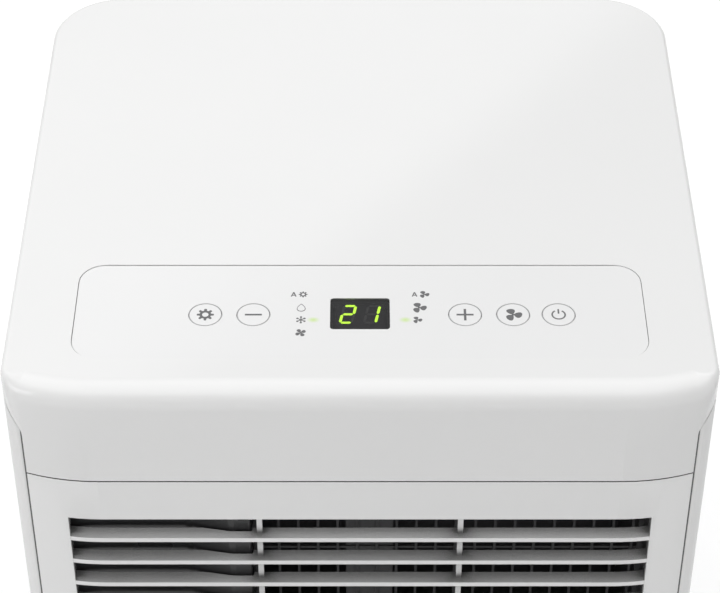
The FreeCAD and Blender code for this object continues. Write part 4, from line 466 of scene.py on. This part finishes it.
def outward(points, faces):
    """Turns every face round when a closed shell's signed volume, a sum over fans, is negative."""
    points = np.asarray(points, float)
    volume = 0.0
    for size in sorted({len(face) for face in faces}):
        corners = points[np.array([face for face in faces if len(face) == size])]
        for k in range(1, size - 1):
            volume += np.einsum("ij,ij->", corners[:, 0], np.cross(corners[:, k], corners[:, k + 1]))
    return [tuple(face)[::-1] for face in faces] if volume < 0 else [tuple(face) for face in faces]


def raised(outline, height):
    """An outline (n x 2) as points at a height."""
    return np.column_stack([outline, np.full(len(outline), height)])


def plate(outline, rise):
    """A flat plate: the closed outline (n x 2) at two heights, with a face over each and a wall between."""
    count = len(outline)
    points = np.concatenate([raised(outline, 0.0), raised(outline, rise)])
    faces = grid_faces(2, count, closed_columns=True)
    faces += [tuple(range(count)), tuple(range(2 * count - 1, count - 1, -1))]
    return points, outward(points, faces)


def band(outer, inner, rise):
    """A flat ring between two closed outlines with equally many points: four rails, closed both ways."""
    count = len(outer)
    rails = [(outer, 0.0), (outer, rise), (inner, rise), (inner, 0.0)]
    points = np.concatenate([raised(line, height) for line, height in rails])
    return points, outward(points, grid_faces(4, count, True, True))


def stroke(path, width, rise):
    """A flat line along a path (n x 2): each point moves half the width along the normal, both ways."""
    path = np.asarray(path, float)
    along = np.gradient(path, axis=0)
    along /= np.linalg.norm(along, axis=1, keepdims=True)
    side = np.column_stack([-along[:, 1], along[:, 0]]) * width / 2
    count = len(path)
    rails = [(path + side, 0.0), (path + side, rise), (path - side, rise), (path - side, 0.0)]
    points = np.stack([raised(line, height) for line, height in rails], axis=1)
    faces = grid_faces(count, 4, closed_columns=True)
    faces += [(0, 1, 2, 3), tuple(4 * (count - 1) + k for k in (3, 2, 1, 0))]
    points = points.reshape(-1, 3)
    return points, outward(points, faces)


def together(shapes):
    """Several (points, faces) shapes as one."""
    points, faces, count = [], [], 0
    for shape_points, shape_faces in shapes:
        points.append(shape_points)
        faces += [tuple(corner + count for corner in face) for face in shape_faces]
        count += len(shape_points)
    return np.concatenate(points), faces


def turned(outline, angle):
    """An outline turned about its origin by an angle in radians."""
    c, s = math.cos(angle), math.sin(angle)
    return np.asarray(outline, float) @ np.array([[c, s], [-s, c]])


def circle(radius, count=48, x=0.0, y=0.0):
    """Points at even angles at a radius from (x, y)."""
    angle = np.linspace(0, 2 * math.pi, count, endpoint=False)
    return np.column_stack([x + radius * np.cos(angle), y + radius * np.sin(angle)])


def toothed(radius, tooth, teeth):
    """A gear's edge: the radius plus a tooth times the hyperbolic tangent of a steep cosine of the angle."""
    angle = np.linspace(0, 2 * math.pi, GEAR_POINTS, endpoint=False)
    reach = radius + tooth * np.tanh(3.0 * np.cos(teeth * angle))
    return np.column_stack([reach * np.cos(angle), reach * np.sin(angle)])


def blade(reach, fullness, lead, count=36):
    """A fan blade: an ellipse along the radius, off to one side of it and narrower towards the hub."""
    angle = np.linspace(0, 2 * math.pi, count, endpoint=False)
    x = 0.55 + 0.45 * np.cos(angle)
    y = fullness * (0.30 + np.sin(angle)) * (0.50 + 0.62 * x)
    return turned(reach * np.column_stack([x, y]), lead)


def gear_sign(size):
    """A toothed wheel with a round hole."""
    return [band(toothed(size * 0.42, size * 0.08, 8), circle(size * 0.185, GEAR_POINTS), INK_RISE)]


def fan_sign(size, blades, lead):
    """Blades at even angles round a hub, which is printed a little thinner."""
    turns = np.arange(blades) * 2 * math.pi / blades + lead
    shapes = [plate(blade(size / 2, 0.56 if blades == 3 else 0.42, turn), INK_RISE) for turn in turns]
    return shapes + [plate(circle(size * 0.085, 24), INK_RISE * 0.9)]


def letter_a(height, width, line):
    """Two legs that meet at the top and a bar across them, printed a little thinner."""
    half = (width - line) / 2
    top, foot = height / 2, -height / 2
    legs = [stroke([(side * half, foot), (side * half * 0.5, 0.0), (0.0, top)], line, INK_RISE)
            for side in (-1, 1)]
    bar = [(-half * 0.62, -height * 0.2), (half * 0.62, -height * 0.2)]
    return legs + [stroke(bar, line, INK_RISE * 0.9)]


def drop_outline(width, height, count=64):
    """A drop: x is a sine that narrows towards the top by a power of the half angle's sine, y is a cosine."""
    angle = np.linspace(0, 2 * math.pi, count, endpoint=False)
    x = width / 2 * np.sin(angle) * np.abs(np.sin(angle / 2)) ** 0.9 * 1.12
    return np.column_stack([x, height / 2 * np.cos(angle)])


def drop_sign(width, height, line):
    """The outline of a drop."""
    return [band(drop_outline(width, height), drop_outline(width - 2 * line, height - 2.4 * line), INK_RISE)]


def snow_sign(size, line):
    """Three crossed arms, each a little thinner than the last, and a dot at each of their six ends."""
    shapes = []
    for k in range(3):
        arm = turned([(-size / 2 + line, 0.0), (0.0, 0.0), (size / 2 - line, 0.0)],
                     math.pi / 2 + k * math.pi / 3)
        shapes.append(stroke(arm, line, INK_RISE * (1 - 0.1 * k)))
    for k in range(6):
        x, y = turned([(size / 2 - line, 0.0)], math.pi / 6 + k * math.pi / 3)[0]
        shapes.append(plate(circle(line * 1.05, 16, x, y), INK_RISE * 0.8))
    return shapes


def power_sign(size, line):
    """A ring that is open at the top, with an upright bar in the gap."""
    angle = np.radians(np.linspace(122, 418, 60))
    ring = np.column_stack([np.cos(angle), np.sin(angle)]) * (size - line) / 2
    bar = [(0.0, size * 0.10), (0.0, size * 0.30), (0.0, size * 0.56)]
    return [stroke(ring, line, INK_RISE), stroke(bar, line, INK_RISE)]


def printed(name, shapes, x, y, level, body, material):
    """Prints flat shapes at (x, y) on a level, in one piece that rides on a body."""
    points, faces = together(shapes)
    piece = piece_from(name, points + (x, y, level), faces, material)
    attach(piece, body)
    return piece


left_signs = [("auto_mode", letter_a(3.3 * MM, 3.0 * MM, 0.62 * MM), -0.0338, 0),
              ("auto_gear", gear_sign(4.5 * MM), -0.0290, 0),
              ("dry_mode", drop_sign(5.1 * MM, 5.9 * MM, 0.42 * MM), -0.0298, 1),
              ("cool_mode", snow_sign(5.3 * MM, 0.55 * MM), -0.0298, 2),
              ("fan_mode", fan_sign(5.6 * MM, 4, 0.35), -0.0298, 3)]
right_signs = [("auto_speed", letter_a(3.3 * MM, 3.0 * MM, 0.62 * MM), 0.0278, 0),
               ("auto_fan", fan_sign(5.2 * MM, 3, -0.35), 0.0327, 0),
               ("high_speed", fan_sign(7.4 * MM, 3, -0.35), 0.0300, 1),
               ("low_speed", fan_sign(4.8 * MM, 3, -0.35), 0.0289, 2)]
for name, shapes, x, row in left_signs + right_signs:
    printed(f"sign_{name}", shapes, x, low[1] + ROWS[row], film_top, "cabinet", ink)

# ---------------------------------------------------------------- keys
# Five round keys of the same white plastic stand in holes of the film. A thin grey ring is printed round
# the edge of each, and its sign in the middle.
KEY_CAP_RADIUS = 0.00835
RING_LINE = 0.00038
RING_INSET = 0.00004
RING_GREY = (0.26, 0.26, 0.265)
RING_SHADE = (0.31, 0.31, 0.315)

key_plastic, _, _ = plastic("key_plastic", FILM_WHITE, FILM_SHADE, gloss=(0.13, 0.17),
                            grain_depth=POLISHED_GRAIN)
ring_ink, ring_tree, ring_shader = plain_material("ring_ink", RING_GREY, 0.35)
ring_surface = use_group(ring_tree, moulded, Grain_Scale=9000.0, Patch_Scale=900.0)
vary(ring_tree, ring_surface.outputs["Variation"], RING_GREY, RING_SHADE, ring_shader, "Base Color")

level_bar = np.array([(-4.3 * MM, 0.0), (0.0, 0.0), (4.3 * MM, 0.0)])
key_signs = {"mode": gear_sign(8.7 * MM),
             "minus": [stroke(level_bar, 1.25 * MM, INK_RISE)],
             "plus": [stroke(level_bar, 1.25 * MM, INK_RISE),
                      stroke(level_bar[:, ::-1], 1.25 * MM, INK_RISE * 0.9)],
             "fan": fan_sign(8.8 * MM, 3, -0.35),
             "power": power_sign(7.4 * MM, 0.85 * MM)}
for name, sign in key_signs.items():
    key_low, key_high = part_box(f"key_{name}")
    x, y = (key_low[0] + key_high[0]) / 2, (key_low[1] + key_high[1]) / 2
    dress([f"key_{name}"], key_plastic, edge=0.00015)
    printed(f"sign_{name}", sign, x, y, key_high[2], f"key_{name}", ink)
    edge = KEY_CAP_RADIUS - RING_INSET
    ring = band(circle(edge, 96), circle(edge - RING_LINE, 96), INK_RISE)
    printed(f"ring_{name}", [ring], x, y, key_high[2], f"key_{name}", ring_ink)

# ---------------------------------------------------------------- display
# A smoked clear window lies level with the film. Under it stands a black two-digit module, whose leaning
# seven-part digits shine yellow-green where they are lit and stay dull grey where they are not.
SMOKE = (0.045, 0.045, 0.046)
SMOKE_SHADE = (0.055, 0.055, 0.057)
SMOKE_ALPHA = 0.56         # for each of the window's two faces
MODULE_BLACK = (0.045, 0.046, 0.048)
MODULE_SHADE = (0.060, 0.061, 0.064)
LIT_GREEN = (0.60, 1.0, 0.06)
LIT_EDGE = (0.50, 0.88, 0.04)
LIT_STRENGTH = 5.5
UNLIT = (0.30, 0.31, 0.30)
UNLIT_SHADE = (0.36, 0.37, 0.36)
DIGIT_HEIGHT = 0.0140
DIGIT_WIDTH = 0.0072
DIGIT_PITCH = 0.0122
DIGIT_BACK = 0.0024        # from the module's middle back to the digits
DIGIT_LEAN = math.tan(math.radians(10))
SEGMENT_WIDTH = 0.0014
SEGMENT_GAP = 0.00025
SEGMENT_RISE = 0.00012
SEGMENT_SINK = 0.00002     # how far the segments reach into the module's face
SEGMENTS_OF = {2: "abged", 1: "bc", 8: "abcdefg"}

smoked, smoked_tree, smoked_shader = plain_material("smoked_window", SMOKE, 0.06, Alpha=SMOKE_ALPHA)
smoked_surface = use_group(smoked_tree, moulded, Grain_Scale=2500.0, Patch_Scale=180.0)
vary(smoked_tree, smoked_surface.outputs["Variation"], SMOKE, SMOKE_SHADE, smoked_shader, "Base Color")
vary(smoked_tree, smoked_surface.outputs["Variation"], 0.05, 0.09, smoked_shader, "Roughness")
dress(["display_lens"], smoked, edge=0.00015)

module_black, _, _ = plastic("module_black", MODULE_BLACK, MODULE_SHADE, gloss=(0.35, 0.5))
dress(["led_display"], module_black)
lit, lit_tree, lit_shader = plain_material("lit_segments", LIT_GREEN, 0.4, Emission_Strength=LIT_STRENGTH)
lit_surface = use_group(lit_tree, moulded, Grain_Scale=6000.0, Patch_Scale=450.0)
vary(lit_tree, lit_surface.outputs["Variation"], LIT_GREEN, LIT_EDGE, lit_shader, "Base Color")
vary(lit_tree, lit_surface.outputs["Variation"], LIT_GREEN, LIT_EDGE, lit_shader, "Emission Color")
unlit, _, _ = plastic("unlit_segments", UNLIT, UNLIT_SHADE, gloss=(0.35, 0.5))


def segment(x0, y0, x1, y1):
    """A bar from one end to the other with pointed ends, leaning with the digit: x gains the lean times y."""
    start, end = np.array([x0, y0]), np.array([x1, y1])
    along = (end - start) / np.linalg.norm(end - start)
    side = np.array([-along[1], along[0]]) * SEGMENT_WIDTH / 2
    start, end = start + along * SEGMENT_GAP, end - along * SEGMENT_GAP
    inset = along * SEGMENT_WIDTH / 2
    outline = np.array([start, start + inset - side, end - inset - side, end, end - inset + side,
                        start + inset + side])
    outline[:, 0] += outline[:, 1] * DIGIT_LEAN
    return plate(outline, SEGMENT_RISE)


half_width, half_height = (DIGIT_WIDTH - SEGMENT_WIDTH) / 2, (DIGIT_HEIGHT - SEGMENT_WIDTH) / 2
segment_ends = {"a": (-half_width, half_height, half_width, half_height),
                "b": (half_width, half_height, half_width, 0.0),
                "c": (half_width, 0.0, half_width, -half_height),
                "d": (-half_width, -half_height, half_width, -half_height),
                "e": (-half_width, 0.0, -half_width, -half_height),
                "f": (-half_width, half_height, -half_width, 0.0),
                "g": (-half_width, 0.0, half_width, 0.0)}
module_low, module_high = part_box("led_display")
module_y = (module_low[1] + module_high[1]) / 2 + DIGIT_BACK
for place, digit, x in (("tens", 2, -DIGIT_PITCH / 2), ("units", 1, DIGIT_PITCH / 2)):
    for state, material in (("lit", lit), ("unlit", unlit)):
        letters = [k for k in SEGMENTS_OF[8] if (k in SEGMENTS_OF[digit]) == (state == "lit")]
        printed(f"digit_{place}_{state}", [segment(*segment_ends[k]) for k in letters], x, module_y,
                module_high[2] - SEGMENT_SINK, "cabinet", material)

# ---------------------------------------------------------------- control board
# A green board hangs under the panel with five black push switches. Milky guides lead its lamps up to
# the film. None of it shows until the cover is off.
BOARD_GREEN = (0.018, 0.110, 0.045)
BOARD_SHADE = (0.030, 0.150, 0.062)
SWITCH_BLACK = (0.030, 0.030, 0.031)
SWITCH_SHADE = (0.045, 0.045, 0.046)
MILKY = (0.68, 0.72, 0.66)
MILKY_SHADE = (0.74, 0.77, 0.72)
board_green, _, _ = plastic("board_laminate", BOARD_GREEN, BOARD_SHADE, gloss=(0.25, 0.4),
                            texture={"Grain Scale": 3000.0, "Patch Scale": 260.0})
switch_black, _, _ = plastic("switch_black", SWITCH_BLACK, SWITCH_SHADE, gloss=(0.35, 0.5))
milky, _, _ = plastic("milky_guide", MILKY, MILKY_SHADE, gloss=(0.2, 0.3))
dress(["control_board", "main_board"], board_green, edge=0.0)
dress(["tact_switches"], switch_black)
dress(["light_guides"], milky)

# ---------------------------------------------------------------- air outlet
# The louvred grille is one white moulding behind the front panel. Behind its left bay a black sheet closes
# the outlet, and behind the rest a black guard grid keeps fingers out of the plenum's dark duct.
GRILLE_WHITE = (0.715, 0.715, 0.713)
GRILLE_SHADE = (0.695, 0.696, 0.694)
SLAT_REACH = 0.030
SLAT_FULL = 0.70           # the open share where the painted shade on the slats is at its darkest
SLAT_SHADE_GREY = (0.17, 0.17, 0.168)
OUTLET_BLACK = (0.016, 0.016, 0.017)
OUTLET_SHADE = (0.030, 0.030, 0.031)
GRID_BLACK = (0.030, 0.030, 0.032)
GRID_SHADE = (0.050, 0.050, 0.052)
DUCT_GREY = (0.026, 0.026, 0.028)
DUCT_SHADE = (0.045, 0.045, 0.047)
DUST = (0.22, 0.21, 0.195)

# settled dust: Mask is where the surface faces up, broken up by noise, times Amount
dusty, dusty_in, dusty_out = group_nodes("settled_dust", {"Amount": 0.3, "Speckle Scale": 240.0}, ["Mask"])
facing = dusty.nodes.new("ShaderNodeNewGeometry").outputs["Normal"]
upward = tree_range(dusty, axes_of(dusty, facing)["Z"], 0.2, 0.95)
dust_place = dusty.nodes.new("ShaderNodeTexCoord").outputs["Object"]
speckle = tree_range(dusty, noise(dusty, dust_place, dusty_in.outputs["Speckle Scale"], 5.0), 0.35, 0.75)
speckled = tree_maths(dusty, "MULTIPLY", upward, speckle)
dusty.links.new(tree_maths(dusty, "MULTIPLY", speckled, dusty_in.outputs["Amount"]), dusty_out.inputs["Mask"])


def dusted(made, amount):
    """Lays dust over what a material's Base Color already is. Returns the material."""
    dust = use_group(made[1], dusty, Amount=amount)
    return overlay(made, dust.outputs["Mask"], DUST)


grille_made = plastic("grille_plastic", GRILLE_WHITE, GRILLE_SHADE, gloss=(0.16, 0.22), grain_depth=0.000006)
# painted shade: where the slats close in round a point, as on their tops under the slat above, the grille is
# coloured a dark grey
slat_shading = use_group(grille_made[1], shade_group("slat_shade", SLAT_REACH, True, SLAT_FULL))
dress(["outlet_grille"], overlay(grille_made, slat_shading.outputs["Mask"], SLAT_SHADE_GREY), edge=0.0003)
baffle_black = dusted(plastic("baffle_black", OUTLET_BLACK, OUTLET_SHADE, gloss=(0.22, 0.38)), 0.10)
dress(["outlet_baffle"], baffle_black)
grid_black = dusted(plastic("grid_black", GRID_BLACK, GRID_SHADE, gloss=(0.3, 0.45)), 0.18)
dress(["guard_grid"], grid_black)
duct_plastic = dusted(plastic("duct_plastic", DUCT_GREY, DUCT_SHADE, gloss=(0.4, 0.55), grain_depth=0.00004),
                      0.25)
dress(["outlet_duct", "exhaust_duct", "evaporator_housing", "condenser_housing"], duct_plastic)

# ---------------------------------------------------------------- rear
# Two white louvred doors pull off the back with the black nets behind them. The white collar between
# takes the hot-air hose. Fluted rubber caps close the drains, and zinc-plated screws hold the panel.
NET_BLACK = (0.022, 0.022, 0.024)
NET_SHADE = (0.040, 0.040, 0.042)
NET_PITCH = 0.0022
NET_WIRE = 0.00042
NET_INSET = 0.0055         # from the filter's edge to where the net is held
NET_DEPTH = 0.0006         # from the filter's back to the net
NET_WEAVE = 0.4            # how much farther in, in wires, the level wires lie than the upright ones
RUBBER = (0.020, 0.020, 0.021)
RUBBER_SHADE = (0.034, 0.034, 0.035)
ZINC = (0.56, 0.57, 0.58)
ZINC_SHADE = (0.42, 0.43, 0.46)
LINE_STRENGTH = 0.3
LINE_DEPTH = 0.00002

rear_plastic, _, _ = plastic("rear_plastic", CABINET_WHITE, CABINET_SHADE, gloss=(0.20, 0.28),
                             grain_depth=0.000012)
dress(["intake_door_upper", "intake_door_lower", "exhaust_collar"], rear_plastic)
net_plastic = dusted(plastic("net_plastic", NET_BLACK, NET_SHADE, gloss=(0.4, 0.55)), 0.35)
dress(["air_filter_upper", "air_filter_lower"], net_plastic)


def bars(lowest, highest):
    """Square bars between arrays of lowest and highest corners (n x 3), eight points and six faces each."""
    pick = np.array([[0, 0, 0], [1, 0, 0], [1, 1, 0], [0, 1, 0], [0, 0, 1], [1, 0, 1], [1, 1, 1], [0, 1, 1]])
    points = lowest[:, None, :] + pick[None] * (highest - lowest)[:, None, :]
    sides = np.array([[0, 3, 2, 1], [4, 5, 6, 7], [0, 1, 5, 4], [1, 2, 6, 5], [2, 3, 7, 6], [3, 0, 4, 7]])
    faces = (sides[None] + 8 * np.arange(len(lowest))[:, None, None]).reshape(-1, 4).tolist()
    return points.reshape(-1, 3), [tuple(face) for face in faces]


def points_at(x, y, z):
    """Points (n x 3) from coordinates that are arrays or single numbers."""
    return np.column_stack(np.broadcast_arrays(x, y, z))


for name in ("upper", "lower"):
    net_low, net_high = np.array(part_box(f"air_filter_{name}"))
    net_low[[0, 2]] += NET_INSET
    net_high[[0, 2]] -= NET_INSET
    net_y = net_high[1] - NET_DEPTH
    level_y = net_y - NET_WEAVE * NET_WIRE
    wires_x = np.arange(net_low[0] + NET_PITCH / 2, net_high[0], NET_PITCH)
    wires_z = np.arange(net_low[2] + NET_PITCH / 2, net_high[2], NET_PITCH)
    upright = bars(points_at(wires_x - NET_WIRE / 2, net_y - NET_WIRE, net_low[2]),
                   points_at(wires_x + NET_WIRE / 2, net_y, net_high[2]))
    across = bars(points_at(net_low[0], level_y - NET_WIRE, wires_z - NET_WIRE / 2),
                  points_at(net_high[0], level_y, wires_z + NET_WIRE / 2))
    net_points, net_faces = together([upright, across])
    net = piece_from(f"filter_net_{name}", net_points, net_faces, net_plastic)
    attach(net, f"intake_door_{name}")

rubber = dusted(plastic("black_rubber", RUBBER, RUBBER_SHADE, gloss=(0.55, 0.7), grain_depth=0.00003,
                        texture={"Grain Scale": 2200.0}), 0.2)
dress(["drain_cap_upper", "drain_cap_lower", "cord_gland", "compressor_feet"], rubber, edge=0.0003)

# drawn metal: Height is noise stretched along one axis, as drawing or rolling leaves it, Variation is tarnish
drawn, drawn_in, drawn_out = group_nodes("drawn_metal", {"Stretch": (1.0, 1.0, 0.05), "Line Scale": 900.0,
                                                         "Tarnish Scale": 60.0}, ["Height", "Variation"])
drawn_place = drawn.nodes.new("ShaderNodeTexCoord").outputs["Object"]
stretch = drawn.nodes.new("ShaderNodeVectorMath")
stretch.operation = "MULTIPLY"
drawn.links.new(drawn_place, stretch.inputs[0])
drawn.links.new(drawn_in.outputs["Stretch"], stretch.inputs[1])
lines = noise(drawn, stretch.outputs["Vector"], drawn_in.outputs["Line Scale"], 3.0)
drawn.links.new(lines, drawn_out.inputs["Height"])
tarnish = tree_range(drawn, noise(drawn, drawn_place, drawn_in.outputs["Tarnish Scale"], 4.0), 0.3, 0.7)
drawn.links.new(tarnish, drawn_out.inputs["Variation"])


def metal(name, colour, shade, gloss=(0.25, 0.4), along=(1.0, 1.0, 0.05), line_scale=900.0):
    """A drawn or plated metal with fine lines along one axis and a patchy tarnish."""
    material, tree, shader = plain_material(name, colour, gloss[0], Metallic=1.0)
    surface = use_group(tree, drawn, Stretch=along, Line_Scale=line_scale)
    vary(tree, surface.outputs["Variation"], colour, shade, shader, "Base Color")
    vary(tree, surface.outputs["Variation"], gloss[0], gloss[1], shader, "Roughness")
    bump(tree, surface.outputs["Height"], shader, LINE_STRENGTH, LINE_DEPTH)
    return material, tree, shader


zinc = metal("zinc_plate", ZINC, ZINC_SHADE, gloss=(0.28, 0.42), along=(1.0, 1.0, 1.0), line_scale=1500.0)[0]
dress(["panel_screws"], zinc)

# ---------------------------------------------------------------- casters
# Four twin-wheel swivel casters: black nylon forks under hoods, on steel stems, and rubber-grey treads
# that pick up dust from the floor.
NYLON = (0.020, 0.020, 0.022)
NYLON_SHADE = (0.036, 0.036, 0.038)
TREAD = (0.050, 0.050, 0.052)
TREAD_SHADE = (0.095, 0.092, 0.088)
nylon = dusted(plastic("black_nylon", NYLON, NYLON_SHADE, gloss=(0.32, 0.48), grain_depth=0.00003), 0.3)
tread, _, _ = plastic("wheel_tread", TREAD, TREAD_SHADE, gloss=(0.5, 0.7), grain_depth=0.00006,
                      texture={"Grain Scale": 1200.0, "Patch Scale": 160.0})
corner_names = ("front_left", "front_right", "rear_left", "rear_right")
dress([f"caster_fork_{corner}" for corner in corner_names], nylon, edge=0.0003)
dress([f"caster_wheels_{corner}" for corner in corner_names], tread, edge=0.0003)

# ---------------------------------------------------------------- inside, the cold side
# Above the deck stand the evaporator in its drip tray, the squirrel-cage blower and its motor. Thin
# corrugated aluminium fins fill both coils between the thicker ones of the frame, too many to count.
ALUMINIUM = (0.62, 0.63, 0.645)
ALUMINIUM_SHADE = (0.50, 0.51, 0.53)
FIN_PITCH = 0.0019
FIN_THICKNESS = 0.00022
FIN_WAVE = 0.00035
FIN_WAVES = 4
FIN_INSET = 0.0012
END_MARGIN = 0.0085        # from the tips of the bends to the coil's end plate
DARK_MOULDING = (0.035, 0.035, 0.037)
DARK_SHADE = (0.060, 0.060, 0.062)
STEEL = (0.50, 0.51, 0.53)
STEEL_SHADE = (0.38, 0.39, 0.41)

fin_metal = metal("fin_aluminium", ALUMINIUM, ALUMINIUM_SHADE, gloss=(0.32, 0.48))[0]
dress(["evaporator", "condenser"], fin_metal, edge=0.0)


def fins(name, node):
    """Corrugated fins side by side: each is a thin strip at a constant x plus a sine of the depth."""
    coil_low, coil_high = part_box(node)
    half = coil_high[0] - END_MARGIN
    centres = np.arange(-half + FIN_PITCH, half - FIN_PITCH / 2, FIN_PITCH)
    depth = np.linspace(0.0, 1.0, 4 * FIN_WAVES + 1)
    y = coil_low[1] + FIN_INSET + depth * (coil_high[1] - coil_low[1] - 2 * FIN_INSET)
    wave = FIN_WAVE * np.sin(2 * math.pi * FIN_WAVES * depth)
    z0, z1 = coil_low[2] + FIN_INSET, coil_high[2] - FIN_INSET
    left = np.column_stack([wave - FIN_THICKNESS / 2, y])
    right = np.column_stack([wave + FIN_THICKNESS / 2, y])[::-1]
    outline = np.concatenate([left, right])
    count = len(outline)
    ring = np.concatenate([raised(outline, z) for z in (z0, z1)])
    points = ring[None] + points_at(centres, 0.0, 0.0)[:, None]
    walls = np.array(grid_faces(2, count, closed_columns=True))
    strip = np.arange(len(depth) - 1)
    caps = np.column_stack([strip, strip + 1, count - 2 - strip, count - 1 - strip])
    one = np.array(outward(points[0], np.concatenate([walls, caps, caps[:, ::-1] + count]).tolist()))
    faces = (one[None] + 2 * count * np.arange(len(centres))[:, None, None]).reshape(-1, 4).tolist()
    piece = piece_from(name, points, faces, fin_metal)
    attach(piece, "cabinet")


fins("evaporator_fins", "evaporator")
fins("condenser_fins", "condenser")
moulded_dark = dusted(plastic("dark_moulding", DARK_MOULDING, DARK_SHADE, gloss=(0.38, 0.52),
                              grain_depth=0.00003), 0.25)
dress(["evaporator_wheel", "condenser_wheel", "slinger_wheel"], moulded_dark, edge=0.0)
dress(["drip_tray", "mid_deck", "electrical_box"], moulded_dark)
motor_steel = metal("motor_steel", STEEL, STEEL_SHADE, gloss=(0.30, 0.45), along=(1.0, 0.05, 1.0))[0]
dress(["evaporator_motor", "condenser_motor", "slinger_motor"], motor_steel)

# ---------------------------------------------------------------- inside, the hot side
# Under the deck the black-painted compressor stands on rubber feet beside the condenser, its blower and
# the slinger wheel. Bare copper pipes join them, and a drawn aluminium capacitor starts the motor.
COPPER = (0.72, 0.33, 0.18)
COPPER_SHADE = (0.48, 0.21, 0.12)
PAINT = (0.016, 0.016, 0.017)
PAINT_SHADE = (0.026, 0.026, 0.027)
copper = metal("copper_tube", COPPER, COPPER_SHADE, gloss=(0.22, 0.42), along=(1.0, 1.0, 0.1))[0]
dress(["suction_pipe", "discharge_pipe", "liquid_pipe"], copper, edge=0.0)
compressor_paint = dusted(plastic("compressor_paint", PAINT, PAINT_SHADE, gloss=(0.22, 0.34),
                                  grain_depth=0.00005, texture={"Grain Scale": 700.0}), 0.25)
dress(["compressor"], compressor_paint, edge=0.0006)
can = metal("capacitor_can", ALUMINIUM, ALUMINIUM_SHADE, gloss=(0.25, 0.35))[0]
dress(["run_capacitor"], can, edge=0.0003)
